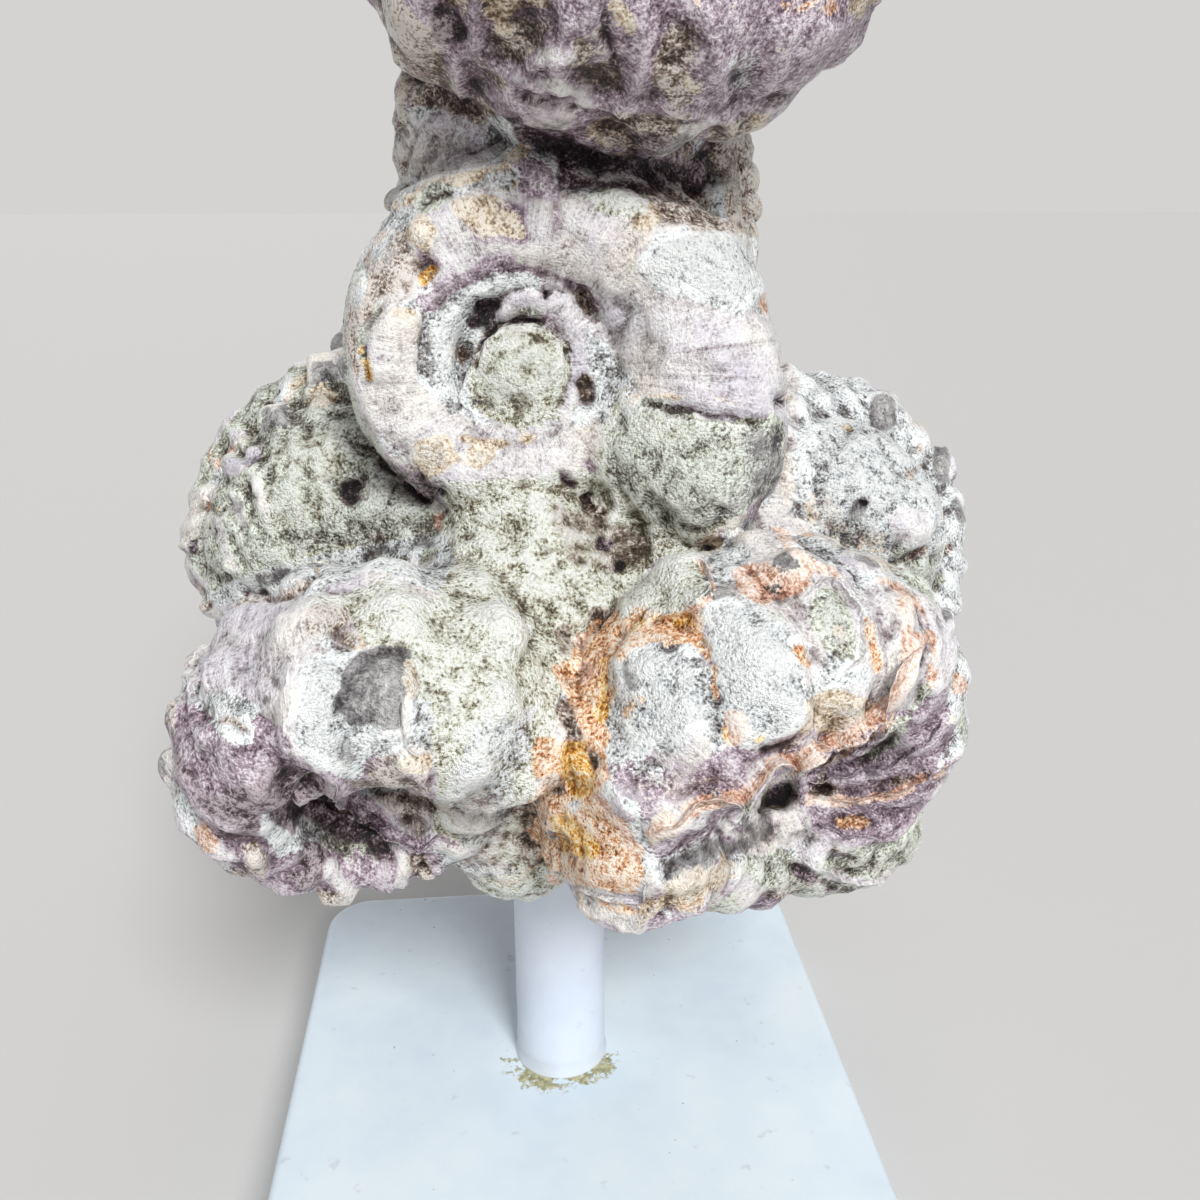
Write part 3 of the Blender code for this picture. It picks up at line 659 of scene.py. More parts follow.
              amount=0.45),
        patch("brown", (594, 122), (620, 109), (655, 108), (680, 121), (682, 141), (655, 154), (620, 151),
              (600, 141), lift=-0.7, soft=13, amount=0.85),
        # partly dark sandstone, partly painted shadow below the crown's lower edge
        patch("dark", (630, 130), (675, 132), (680, 150), (640, 156), amount=0.8),
        line("dark", 6, (520, 97), (554, 105), lift=-1.0, soft=5),
        line("tan", 8, (616, 6), (629, 28)),
        line("lavender", 5, (474, 0), (476, 30), (480, 50), (497, 66), (522, 78), (565, 92), (617, 105),
             (663, 108), (728, 116), lift=1.0, soft=10, torn=2),
        line("lavender", 5, (562, 90), (556, 60), (566, 30), (560, 0), lift=0.9, soft=10, torn=2),
        line("lavender", 6, (642, 0), (645, 50), (637, 90), (622, 104), lift=1.0, soft=10, torn=2),
        line("lavender", 5, (710, 6), (716, 50), (724, 92), (728, 116), lift=0.9, soft=10, torn=2),
        line("lavender", 5, (728, 116), (756, 95), (776, 60), (792, 28), lift=0.9, soft=10, torn=2),
        line("lavender", 5, (474, 40), (455, 62), (462, 92), lift=1.0, soft=7, torn=2),
        line("nacre", 5, (480, 50), (497, 66), (522, 78), (565, 92), (617, 105), amount=0.5, torn=10),
        line("nacre", 5, (562, 90), (556, 60), (566, 30), amount=0.5, torn=10),
        line("nacre", 6, (645, 50), (637, 90), (663, 108), (728, 112), amount=0.46, torn=10),
        line("tan", 7, (780, 50), (800, 30), (830, 24), amount=0.4, torn=10),
    ],
}


# Small tools

def unit(vector):
    vector = np.asarray(vector, float)
    return vector / np.linalg.norm(vector)


def smooth(low, high, value):
    t = np.clip((value - low) / (high - low), 0, 1)
    return t * t * (3 - 2 * t)


def scramble(cell, seed):
    """A repeatable whole number for each cell of space."""
    mixed = cell[:, 0] * 73856093 ^ cell[:, 1] * 19349663 ^ cell[:, 2] * 83492791 ^ (seed + 1) * 2654435761
    mixed = (mixed ^ (mixed >> 15)) * 2246822519
    return (mixed ^ (mixed >> 13)) & 0xFFFFFF


SLOPES = np.array([unit(row) for row in np.random.default_rng(7).normal(size=(256, 3))])


def rough(points, size, seed=0):
    """Smooth noise, mostly from -0.7 to 0.7, whose bumps are about size millimetres wide."""
    place = points / size + seed * 19.7
    cell = np.floor(place).astype(np.int64)
    within = place - cell
    ease = within ** 3 * (within * (within * 6 - 15) + 10)
    total = np.zeros(len(points))
    for corner in np.ndindex(2, 2, 2):
        slope = SLOPES[scramble(cell + corner, seed) & 255]
        share = np.prod(np.where(corner, ease, 1 - ease), axis=1)
        total += share * np.einsum("ij,ij->i", slope, within - corner)
    return total * 1.5


def cells(points, size, seed=0):
    """Distances to the nearest and next scattered centres, in sizes, and the nearest one's own number."""
    place = points / size + seed * 7.3
    home = np.floor(place).astype(np.int64)
    near, after = np.full(len(points), 9.0), np.full(len(points), 9.0)
    own = np.zeros(len(points))
    for step in np.ndindex(3, 3, 3):
        cell = home + step - 1
        draw = [scramble(cell, seed * 3 + k) / 0xFFFFFF for k in range(3)]
        away = np.linalg.norm(place - cell - np.stack(draw, 1), axis=1)
        after = np.minimum(after, np.maximum(near, away))
        own = np.where(away < near, draw[0], own)
        near = np.minimum(near, away)
    return near, after, own


# Camera of the photograph

def sight_lines():
    """The camera's directions ahead, to the right and up."""
    ahead = (math.sin(LOOKS_RIGHT) * math.cos(LOOKS_DOWN), math.cos(LOOKS_RIGHT) * math.cos(LOOKS_DOWN),
             -math.sin(LOOKS_DOWN))
    right = (math.cos(LOOKS_RIGHT), -math.sin(LOOKS_RIGHT), 0)
    return np.array(ahead), np.array(right), np.cross(right, ahead)


def seen_at(points):
    """The photograph's pixel at which each point shows."""
    ahead, right, up = sight_lines()
    offset = points - EYE
    scale = FOCAL_PIXELS / (offset @ ahead)
    return np.stack([PHOTO_SIDE / 2 + offset @ right * scale, PHOTO_SIDE / 2 - offset @ up * scale], 1)


# Tubes and coils

def tube(rings, first_tip, last_tip):
    """Points and faces of a closed tube through rings of points, with a tip at each end."""
    count, sides = len(rings), len(rings[0])
    here = np.arange(count * sides).reshape(count, sides)
    there = np.roll(here, -1, axis=1)
    faces = np.stack([here[:-1], there[:-1], there[1:], here[1:]], -1).reshape(-1, 4).tolist()
    faces += [[count * sides, there[0, k], here[0, k]] for k in range(sides)]
    faces += [[count * sides + 1, here[-1, k], there[-1, k]] for k in range(sides)]
    return np.concatenate([*rings, [first_tip, last_tip]]), faces


def coil_frame(shell):
    """The coil's middle, its axis, the way to the mouth, and the way the tube runs inwards there."""
    axis = unit(shell.axis)
    middle = np.asarray(shell.hollow, float) - axis * shell.depth
    to_mouth = np.asarray(shell.mouth, float)
    to_mouth = unit(to_mouth - axis * (to_mouth @ axis))
    return middle, axis, to_mouth, np.cross(axis, to_mouth) * shell.hand


def relief(shell, seed, turned, around):
    """How far ribs and knobs stand proud at full size, and how much of a knob's flat end is there."""
    if shell.ribs == 0:
        return np.zeros_like(turned), np.zeros_like(turned)
    count = turned / TURN * shell.ribs
    nearest = np.clip(np.round(count), 0, 199)
    strengths = np.random.default_rng(seed).uniform(0.6, 1.15, 200)
    strength = strengths[nearest.astype(int)]
    rib = strength * np.exp(-(((count - nearest) / RIB_HALF_WIDTH) ** 2))
    stub = strength * np.exp(-(((count - nearest) / KNOB_HALF_WIDTH) ** 4))
    from_edge = np.abs((around + math.pi) % TURN - math.pi)
    fade = np.clip((UNSEEN_INSIDE - from_edge) * 2, 0, 1)
    rows = sum(tall * np.exp(-(((from_edge - row) / KNOB_SPREAD) ** 4)) for row, tall in KNOB_ROWS)
    return rib * shell.rib * fade + stub * shell.knob * rows, stub * rows


def shell_surface(shell, seed):
    """Points and faces of one coiled tube, from its rounded mouth to its innermost turn."""
    middle, axis, to_mouth, inwards = coil_frame(shell)
    turned = np.linspace(0, shell.turns * TURN, int(shell.turns * RINGS_PER_TURN))
    around = np.linspace(0, TURN, RING_POINTS, endpoint=False)
    outer = shell.radius * shell.growth ** (-turned / TURN)
    half_height = outer * shell.height / 2
    half_width = outer * shell.width / 2
    power = shell.square
    superellipse = (np.abs(np.cos(around)) ** power + np.abs(np.sin(around)) ** power) ** (-1 / power)
    proud, _ = relief(shell, seed, *np.meshgrid(turned, around, indexing="ij"))
    proud = proud * (outer / shell.radius)[:, None]
    out = np.outer(half_height, superellipse * np.cos(around)) + proud * np.cos(around)
    side = np.outer(half_width, superellipse * np.sin(around)) + proud * np.sin(around)
    spoke = np.outer(np.cos(turned), to_mouth) + np.outer(np.sin(turned), inwards)
    reach = (outer - half_height)[:, None] + out
    rings = middle + spoke[:, None, :] * reach[:, :, None] + axis * side[:, :, None]

    mouth_middle = middle + to_mouth * (outer[0] - half_height[0])
    bulge = -inwards * half_height[0] * MOUTH_BULGE
    angles = [(k + 1) / (MOUTH_RINGS + 1) * math.pi / 2 for k in reversed(range(MOUTH_RINGS))]
    dome = [mouth_middle + (rings[0] - mouth_middle) * math.cos(a) + bulge * math.sin(a) for a in angles]
    rings = np.concatenate([dome, rings])
    points, faces = tube(rings, mouth_middle + bulge, rings[-1].mean(axis=0))
    return points, faces if shell.hand > 0 else [face[::-1] for face in faces]


def on_coil(shell, seed, points):
    """Each point's turn and angle round one shell's tube, and how far it is above the tube in millimetres."""
    middle, axis, to_mouth, inwards = coil_frame(shell)
    offset = points - middle
    side = offset @ axis
    flat_x, flat_y = offset @ to_mouth, offset @ inwards
    span = np.hypot(flat_x, flat_y)
    first = np.arctan2(flat_y, flat_x) % TURN
    turned, around, above = np.zeros(len(points)), np.zeros(len(points)), np.full(len(points), 1e3)
    for lap in range(math.ceil(shell.turns)):
        at = first + lap * TURN
        outer = shell.radius * shell.growth ** (-at / TURN)
        half_height, half_width = outer * shell.height / 2, outer * shell.width / 2
        x, y = (span - outer + half_height) / half_height, side / half_width
        power = shell.square
        distance = (np.abs(x) ** power + np.abs(y) ** power) ** (1 / power)
        proud, _ = relief(shell, seed, at, np.arctan2(y, x))
        height = (distance - 1) * np.minimum(half_height, half_width) - proud * outer / shell.radius
        closer = (height < above) & (at < shell.turns * TURN)
        turned, around = np.where(closer, at, turned), np.where(closer, np.arctan2(y, x), around)
        above = np.where(closer, height, above)
    return turned, around, above


@dataclass
class Survey:
    """What each point of the skin lies on: a shell by its place in SHELLS, or -1 for sandstone."""

    owner: np.ndarray
    turned: np.ndarray
    around: np.ndarray
    knob: np.ndarray


def survey(points, reach=1.0):
    """Looks for the nearest shell within SHELL_SKIN millimetres, or within reach times as much."""
    local = points - np.array((POST_X, 0, 0))
    count = len(points)
    found = Survey(np.full(count, -1), np.zeros(count), np.zeros(count), np.zeros(count))
    least = np.ones(count)
    for seed, (name, shell) in enumerate(SHELLS.items()):
        limit = reach * SHELL_SKIN * (2.5 if name in CROWN else 1)
        close = np.flatnonzero(np.linalg.norm(local - coil_frame(shell)[0], axis=1) < shell.radius * 1.35)
        turned, around, above = on_coil(shell, seed, local[close])
        mine = np.abs(above) / limit < least[close]
        _, ends = relief(shell, seed, turned, around)
        chosen = close[mine]
        least[chosen] = (np.abs(above) / limit)[mine]
        found.owner[chosen] = seed
        found.turned[chosen], found.around[chosen] = turned[mine], around[mine]
        found.knob[chosen] = ends[mine]
    return found


# Skin

def mesh_object(name, points, faces):
    mesh = bpy.data.meshes.new(name)
    mesh.from_pydata((np.asarray(points) * MM).tolist(), [], faces)
    return place_object(name, mesh)


def place_object(name, mesh):
    """Puts a mesh into the scene."""
    obj = bpy.data.objects.new(name, mesh)
    bpy.context.scene.collection.objects.link(obj)
    return obj


def lump_surface(middle, half_sizes, turn):
    """Points and faces of a lump of sandstone, turned about the upright by some degrees."""
    bm = bmesh.new()
    stretch = Matrix.Diagonal((*half_sizes, 1))
    place = Matrix.Translation(middle) @ Matrix.Rotation(math.radians(turn), 4, "Z")
    bmesh.ops.create_icosphere(bm, subdivisions=5, radius=1, matrix=place @ stretch)
    points = np.array([v.co for v in bm.verts])
    faces = [[v.index for v in f.verts] for f in bm.faces]
    bm.free()
    return points, faces


def evaluated(obj):
    """The object's mesh with its modifiers worked in, as a new mesh. The object is removed."""
    depsgraph = bpy.context.evaluated_depsgraph_get()
    mesh = bpy.data.meshes.new_from_object(obj.evaluated_get(depsgraph))
    bpy.data.objects.remove(obj)
    return mesh


def mesh_points(mesh):
    points = np.empty(len(mesh.vertices) * 3, np.float32)
    mesh.vertices.foreach_get("co", points)
    return points.reshape(-1, 3).astype(float) / MM


def set_mesh_points(mesh, points):
    mesh.vertices.foreach_set("co", (points * MM).astype(np.float32).ravel())
    mesh.update()


def mesh_normals(mesh):
    normals = np.empty(len(mesh.vertices) * 3, np.float32)
    mesh.vertex_normals.foreach_get("vector", normals)
    return normals.reshape(-1, 3).astype(float)


def mesh_edges(mesh):
    edges = np.empty(len(mesh.edges) * 2, np.int32)
    mesh.edges.foreach_get("vertices", edges)
    return edges.reshape(-1, 2)


def outer_only(mesh):
    """Removes the closed pockets inside the skin."""
    edges = mesh_edges(mesh)
    group = np.arange(len(mesh.vertices))
    while True:
        low = np.minimum(group[edges[:, 0]], group[edges[:, 1]])
        before = group.copy()
        np.minimum.at(group, edges[:, 0], low)
        np.minimum.at(group, edges[:, 1], low)
        group = group[group]
        if (group == before).all():
            break
    names, sizes = np.unique(group, return_counts=True)
    if len(names) == 1:
        return mesh
    bm = bmesh.new()
    bm.from_mesh(mesh)
    bm.verts.ensure_lookup_table()
    bmesh.ops.delete(bm, geom=[bm.verts[i] for i in np.flatnonzero(group != names[sizes.argmax()])],
                     context="VERTS")
    bm.to_mesh(mesh)
    bm.free()
    return mesh


def melted_skin():
    """Shells and sandstone melted together into one closed surface, in the part's own frame."""
    points, faces, start = [], [], 0
    surfaces = [shell_surface(shell, seed) for seed, shell in enumerate(SHELLS.values())]
    surfaces += [lump_surface(*lump) for lump in SANDSTONE.values()]
    for more_points, more_faces in surfaces:
        points.append(more_points)
        faces += [[i + start for i in face] for face in more_faces]
        start += len(more_points)
    points = np.concatenate(points)
    points[:, 0] += POST_X
    rough_form = mesh_object("shells and sandstone", points, faces)
    melt = rough_form.modifiers.new("melt", "REMESH")
    melt.mode = "VOXEL"
    melt.voxel_size = SKIN_GRAIN * MM
    return outer_only(evaluated(rough_form))


def soften(values, edges, rounds):
    """Evens a value out between neighbouring points."""
    count = np.bincount(edges.ravel(), minlength=len(values)).astype(float)
    columns = values.reshape(len(values), -1)
    one, other = edges.T
    for _ in range(rounds):
        total = np.stack([np.bincount(one, column[other], len(values))
                          + np.bincount(other, column[one], len(values)) for column in columns.T], 1)
        columns = 0.5 * columns + 0.5 * total / np.maximum(count, 1)[:, None]
    return columns.reshape(values.shape)


# Marks

def to_segments(pixels, corners, closed):
    """The distance in pixels from each pixel to a run of straight lines."""
    nearest = np.full(len(pixels), np.inf)
    ends = corners[1:] + corners[:1] if closed else corners[1:]
    for a, b in zip(corners, ends):
        a, along = np.array(a, float), np.array(b, float) - np.array(a, float)
        share = np.clip((pixels - a) @ along / max(along @ along, 1e-9), 0, 1)
        nearest = np.minimum(nearest, np.linalg.norm(pixels - a - share[:, None] * along, axis=1))
    return nearest


def inside_outline(pixels, corners):
    within = np.zeros(len(pixels), bool)
    for (ax, ay), (bx, by) in zip(corners, corners[1:] + corners[:1]):
        crosses = (ay > pixels[:, 1]) != (by > pixels[:, 1])
        slope = (bx - ax) / (by - ay) if by != ay else 0
        within ^= crosses & (pixels[:, 0] < ax + (pixels[:, 1] - ay) * slope)
    return within


def depth_in(mark, pixels):
    """How many pixels inside the mark each pixel is. Outside it is negative."""
    if mark.reach:
        return mark.reach - to_segments(pixels, mark.points, closed=False)
    distance = to_segments(pixels, mark.points, closed=True)
    return np.where(inside_outline(pixels, mark.points), distance, -distance)


def near_mark(mark, pixels, seen, margin):
    """Which of the seen points lie in the box round a mark."""
    corners = np.array(mark.points, float)
    low, high = corners.min(axis=0) - mark.reach - margin, corners.max(axis=0) + mark.reach + margin
    return np.flatnonzero(seen & ((pixels > low) & (pixels < high)).all(axis=1))


def in_sight(mesh, points):
    """Whether the photograph's camera sees each point."""
    tree = surface_tree(mesh, points)
    facing = np.einsum("ij,ij->i", mesh_normals(mesh), points - EYE) < 0
    seen = np.zeros(len(points), bool)
    eye = Vector(EYE)
    for i in np.flatnonzero(facing):
        to_point = Vector(points[i]) - eye
        hit = tree.ray_cast(eye, to_point)
        seen[i] = hit[0] is None or hit[3] > to_point.length - HIDDEN_BELOW
    return seen


def surface_tree(mesh, points):
    """The surface in a form that rays can be sent at."""
    corners = np.empty(len(mesh.loops), np.int32)
    mesh.loops.foreach_get("vertex_index", corners)
    starts = np.empty(len(mesh.polygons), np.int32)
    mesh.polygons.foreach_get("loop_start", starts)
    corners = corners.tolist()
    ends = starts.tolist()[1:] + [len(corners)]
    return BVHTree.FromPolygons(points.tolist(), [corners[a:b] for a, b in zip(starts.tolist(), ends)])


def all_marks():
    """Every mark of every region, in order, because later ones lie over earlier ones."""
    return [mark for marks in MARKS.values() for mark in marks]


# Relief

def shell_cover(points):
    """Above nought where a shell's own layer is left, and below where it has flaked away."""
    return rough(points, 13, 20) + 0.45 * rough(points, 5, 21) + 0.22 * rough(points, 2.2, 22) + 0.1


def crown_share(points):
    """How far each point belongs to the shells at the top, from 0 to 1."""
    local = points - np.array((POST_X, 0, 0))
    shells = [SHELLS[name] for name in CROWN]
    away = [np.linalg.norm(local - coil_frame(shell)[0], axis=1) / shell.radius for shell in shells]
    return smooth(1.16, 1.06, np.minimum(*away)) * smooth(CROWN_FLOOR, CROWN_FINISH_FROM, points[:, 2])


def crests(points, size, seed):
    """Sharp ridges with rounded hollows between them."""
    return 1 - 2.2 * np.abs(rough(points, size, seed)) - 0.6


def cement(mesh):
    """Fills the creases between the shells with sandstone, except in the dark gap below the crown."""
    points, normals, edges = mesh_points(mesh), mesh_normals(mesh), mesh_edges(mesh)
    filled = np.einsum("ij,ij->i", soften(points, edges, CEMENT_ROUNDS) - points, normals)
    stony = soften((survey(points).owner < 0).astype(float), edges, 6)
    share = (0.45 + 0.55 * stony) * smooth(CEMENT_TO, CROWN_FLOOR, points[:, 2])
    amount = np.clip(filled, 0, CEMENT_DEPTH) * share + np.clip(filled, -CEMENT_DEPTH, 0) * stony * 0.8
    set_mesh_points(mesh, points + normals * soften(amount, edges, 2)[:, None])


def work_surface(mesh):
    """Moves the skin's points: stony grain, flaked shell, dents in the crown, then every mark."""
    cement(mesh)
    points, normals, edges = mesh_points(mesh), mesh_normals(mesh), mesh_edges(mesh)
    found = survey(points)
    seen = in_sight(mesh, points)
    stony = soften((found.owner < 0).astype(float), edges, 3)
    crown = crown_share(points)
    lift = rough(points, 12) * (0.4 + 0.6 * stony) + crests(points, 6, 1) * (0.3 + 0.5 * stony)
    lift += crests(points, 2.6, 2) * (0.2 + 0.25 * stony) + rough(points, 1.3, 3) * (0.08 + 0.12 * stony)
    lift += 0.4 * smooth(-0.04, 0.04, shell_cover(points)) * (1 - stony) * (1 - crown)
    pixels = seen_at(points)
    near, after, own = cells(points + rough(points, 6, 5)[:, None] * 2, 9, 6)
    free = np.where(seen, 0.3 + 0.7 * smooth(0, -60, pixels[:, 1]), 1.0)
    lift -= (0.8 + 1.6 * own) * smooth(0.06, 0.5, after - near) * crown * free
    ragged = rough(points, 1.8, 8)
    for mark in all_marks():
        if mark.lift:
            near = near_mark(mark, pixels, seen, mark.soft + mark.torn)
            depth = depth_in(mark, pixels[near]) + ragged[near] * mark.torn
            lift[near] += mark.lift * smooth(-mark.soft, mark.soft, depth)
    set_mesh_points(mesh, points + normals * soften(lift, edges, 1)[:, None])
    return seen


def thinned(mesh, seen):
    """The skin with fewer triangles, more of them kept where the photograph looks."""
    obj = place_object("thinning", mesh)
    spare = obj.vertex_groups.new(name="spare")
    spare.add(np.flatnonzero(~seen).tolist(), 1.0, "REPLACE")
    spare.add(np.flatnonzero(seen).tolist(), SEEN_SPARE, "REPLACE")
    fewer = obj.modifiers.new("fewer", "DECIMATE")
    fewer.ratio = min(1, TRIANGLES / sum(len(p.vertices) - 2 for p in mesh.polygons))
    fewer.vertex_group = "spare"
    fewer.vertex_group_factor = SEEN_KEEP
    return evaluated(obj)


def ledge_path(mark, tree):
    """Evenly spaced places on the skin below a mark's line, and the skin's direction at each."""
    corners = np.array(mark.points, float)
    run = np.concatenate([[0], np.cumsum(np.linalg.norm(np.diff(corners, axis=0), axis=1))])
    steps = np.linspace(0, run[-1], int(run[-1] / LEDGE_STEP) + 2)
    pixels = np.stack([np.interp(steps, run, corners[:, k]) for k in (0, 1)], 1)
    ahead, right, up = sight_lines()
    offset = (pixels - PHOTO_SIDE / 2) / FOCAL_PIXELS
    rays = ahead + offset[:, :1] * right - offset[:, 1:] * up
    hits = [tree.ray_cast(Vector(EYE), Vector(ray)) for ray in rays]
    places = np.array([hit[0] for hit in hits if hit[0]])
    outwards = np.array([hit[1] for hit in hits if hit[0]])
    chain = np.stack([np.arange(len(places) - 1), np.arange(1, len(places))], 1)
    return soften(places, chain, 5), soften(outwards, chain, 12)


def ledge_surface(mark, tree):
    """Points and faces of one thin broken edge of shell, rooted below the skin."""
    places, outwards = ledge_path(mark, tree)
    outwards /= np.linalg.norm(outwards, axis=1)[:, None]
    along = np.gradient(places, axis=0)
    aside = np.cross(along, outwards)
    aside /= np.linalg.norm(aside, axis=1)[:, None]
    share = np.linspace(0, 1, len(places))
    taper = np.clip(np.minimum(share, 1 - share) * 9, 0, 1) ** 0.7
    height = mark.ledge * taper * (1 + 0.5 * rough(places, 4, 51) + 0.35 * rough(places, 1.5, 52))
    sway = 0.7 * rough(places, 3.5, 53) + 0.25 * rough(places, 1.2, 54)
    rings = []
    for angle in np.linspace(0, TURN, LEDGE_SIDES, endpoint=False):
        rise = 0.5 + 0.5 * math.cos(angle)
        width = LEDGE_HALF_WIDTH * (0.15 + 0.85 * (1 - rise)) * math.sin(angle)
        out = -LEDGE_ROOT + (LEDGE_ROOT + height) * rise
        across = width * (0.4 + 0.6 * taper) + sway * rise
        rings.append(places + outwards * out[:, None] + aside * across[:, None])
    rings = np.stack(rings, 1)
    return tube(rings, rings[0].mean(axis=0), rings[-1].mean(axis=0))


def with_ledges(mesh):
    """Adds the thin broken edges of shell to the skin."""
    tree = surface_tree(mesh, mesh_points(mesh))
    bm = bmesh.new()
    bm.from_mesh(mesh)
    for mark in all_marks():
        if mark.ledge:
            ledge = mesh_object("ledge", *ledge_surface(mark, tree))
            bm.from_mesh(ledge.data)
            bpy.data.meshes.remove(ledge.data)
    bm.to_mesh(mesh)
    bm.free()
    return mesh


# Finishes

def closeness(mesh, points):
    """How hemmed in each point is, from 0 in the open to 1 deep in a crevice."""
    tree = surface_tree(mesh, points)
    normals = mesh_normals(mesh)
    spans = np.sqrt((np.arange(CREVICE_RAYS) + 0.5) / (CREVICE_RAYS + 1))
    ways = [Vector(unit((math.cos(k * 2.4) * span, math.sin(k * 2.4) * span, math.sqrt(1 - span * span))))
            for k, span in enumerate(spans)]
    shut = np.zeros(len(points))
    for i, (point, normal) in enumerate(zip(points, normals)):
        normal = Vector(normal)
        turn = normal.to_track_quat("Z", "Y")
        start = Vector(point) + normal * 0.3
        met = [tree.ray_cast(start, turn @ way, CREVICE_REACH)[0] is not None for way in ways]
        shut[i] = sum(met) / CREVICE_RAYS
    return shut


def hollowness(mesh, points, rounds):
    """How far each point lies below its neighbourhood, in millimetres. Ridges are negative."""
    return np.einsum("ij,ij->i", soften(points, mesh_edges(mesh), rounds) - points, mesh_normals(mesh))


class Coat:
    """How much of each finish lies at each point. The shares of a point add up to 1."""

    def __init__(self, points):
        self.points = points
        self.share = {name: np.zeros(len(points)) for name in FINISHES}
        self.share["sandstone"] += 1

    def lay(self, name, amount, where=slice(None)):
        """Covers what is there with a finish, by an amount from 0 to 1."""
        for other in self.share.values():
            other[where] *= 1 - amount
        self.share[name][where] += amount

    def patchy(self, size, seed, low, high):
        """Patches of noise, about size millimetres wide, that fade in from low to high."""
        return smooth(low, high, rough(self.points, size, seed))


def spread_finishes(coat, found, normals):
    """Lays the finishes that each shell and the sandstone have wherever no mark lies, and painted shade on
    the shells' undersides.
    """
    points, lay, patchy = coat.points, coat.lay, coat.patchy
    cover = smooth(-0.12, 0.12, shell_cover(points))
    for seed, shell in enumerate(SHELLS.values()):
        mine = np.flatnonzero(found.owner == seed)
        lay(shell.bared, 1.0, mine)
        lay(shell.cover, cover[mine], mine)
    on_shell = found.owner >= 0
    # painted shade: the downward-facing sides of the shells get darker mauve and dark patches
    underside_shade = smooth(-0.2, 0.6, -normals[:, 2] + 0.5 * rough(points, 7, 11))
    crown = crown_share(points)
    plain = 1 - 0.85 * crown
    lay("lavender", crown * 0.95)
    lay("brown", crown * patchy(6, 16, -0.1, 0.35) * 0.55)
    lay("pepper", crown * patchy(5, 17, 0.2, 0.5) * 0.6)
    lay("nacre", crown * patchy(9, 18, 0.15, 0.4) * 0.62)
    lay("pepper", on_shell * plain * patchy(8, 8, 0.12, 0.4) * 0.8)
    lay("lavender", on_shell * underside_shade * 0.75)
    lay("dark", on_shell * underside_shade * patchy(4, 14, 0.2, 0.4) * 0.9)
    # brown patches everywhere, with more of them on undersides as painted shade
    lay("brown", patchy(6, 10, 0.22, 0.45) * (0.3 + 0.4 * underside_shade))
    lay("moss", plain * patchy(13, 12, 0.25, 0.5) * 0.6)
    lay("tan", patchy(7, 13, 0.28, 0.5) * 0.6)
    lay("coral", on_shell * patchy(9, 15, 0.42, 0.6) * 0.8)
    lay("nacre", plain * smooth(0.15, 0.4, found.knob) * 0.7)
    lay("grey", plain * smooth(0.5, 0.7, found.knob) * 0.8)


def lay_marks(coat, mesh):
    """Lays each mark's finish, with a ragged edge."""
    points = coat.points
    seen, pixels = in_sight(mesh, points), seen_at(points)
    ragged = 0.7 * rough(points, 1.5, 4) + 1.1 * rough(points, 4.5, 9)
    for mark in all_marks():
        near = near_mark(mark, pixels, seen, EDGE_SPREAD + mark.torn)
        depth = depth_in(mark, pixels[near]) + ragged[near] * mark.torn
        coat.lay(mark.finish, mark.amount * smooth(-EDGE_SPREAD, EDGE_SPREAD, depth), near)


def lay_finishes(mesh):
    """Stores how far each finish covers those before it, the hollows, and the shells' growth lines."""
    points, edges = mesh_points(mesh), mesh_edges(mesh)
    coat = Coat(points)
    spread_finishes(coat, survey(points), mesh_normals(mesh))
    lay_marks(coat, mesh)
    below = np.full(len(points), 1e-6)
    for name, share in coat.share.items():
        below += share
        store(mesh, name, share / below)
    store(mesh, "shut", soften(closeness(mesh, points), edges, 2))
    fine, broad = hollowness(mesh, points, 4), hollowness(mesh, points, 16)
    store(mesh, "hollow", fine / FINE_HOLLOW + broad / BROAD_HOLLOW)
    found = survey(points, 4)
    along, across = found.turned * GROWTH_RADIUS, found.around * TUBE_RADIUS
    growth = np.stack([along, across, found.owner * SHELLS_APART], 1)
    layer = mesh.attributes.new("growth", "FLOAT_VECTOR", "POINT")
    layer.data.foreach_set("vector", growth.astype(np.float32).ravel())


def store(mesh, name, values):
    layer = mesh.attributes.new(name, "FLOAT", "POINT")
    layer.data.foreach_set("value", values.astype(np.float32))


# Node helpers

def srgb(red, green, blue):
    """A colour given in everyday 0 to 255 values, as the shaders want it."""
    def linear(value):
        value /= 255
        return value / 12.92 if value <= 0.04045 else ((value + 0.055) / 1.055) ** 2.4
    return (linear(red), linear(green), linear(blue), 1)


def node(tree, kind, inputs=None, **settings):
    made = tree.nodes.new("ShaderNode" + kind)
    for name, value in settings.items():
        setattr(made, name, value)
    for name, value in (inputs or {}).items():
        plug(tree, made.inputs[name], value)
    return made


def plug(tree, socket, value):
    if isinstance(value, bpy.types.NodeSocket):
        tree.links.new(value, socket)
    else:
        socket.default_value = value


def calc(tree, operation, first, second=0.0, third=0.0):
    return node(tree, "Math", {0: first, 1: second, 2: third}, operation=operation).outputs[0]


def blend(tree, amount, first, second, kind="MIX"):
    made = node(tree, "Mix", data_type="RGBA", blend_type=kind)
    plug(tree, made.inputs[0], amount)
    plug(tree, made.inputs[6], first)
    plug(tree, made.inputs[7], second)
    return made.outputs[2]


def ramp(tree, value, places, tones):
    """A colour ramp with an everyday colour at each place."""
    made = node(tree, "ValToRGB", {0: value})
    elements = made.color_ramp.elements
    while len(elements) < len(places):
        elements.new(0.5)
    for element, place, tone in zip(elements, places, tones):
        element.position = place
        element.color = srgb(*tone)
    return made.outputs[0]


def between(tree, value, low, high, to_low=0.0, to_high=1.0):
    limits = {0: value, 1: low, 2: high, 3: to_low, 4: to_high}
    return node(tree, "MapRange", limits, interpolation_type="SMOOTHSTEP").outputs[0]


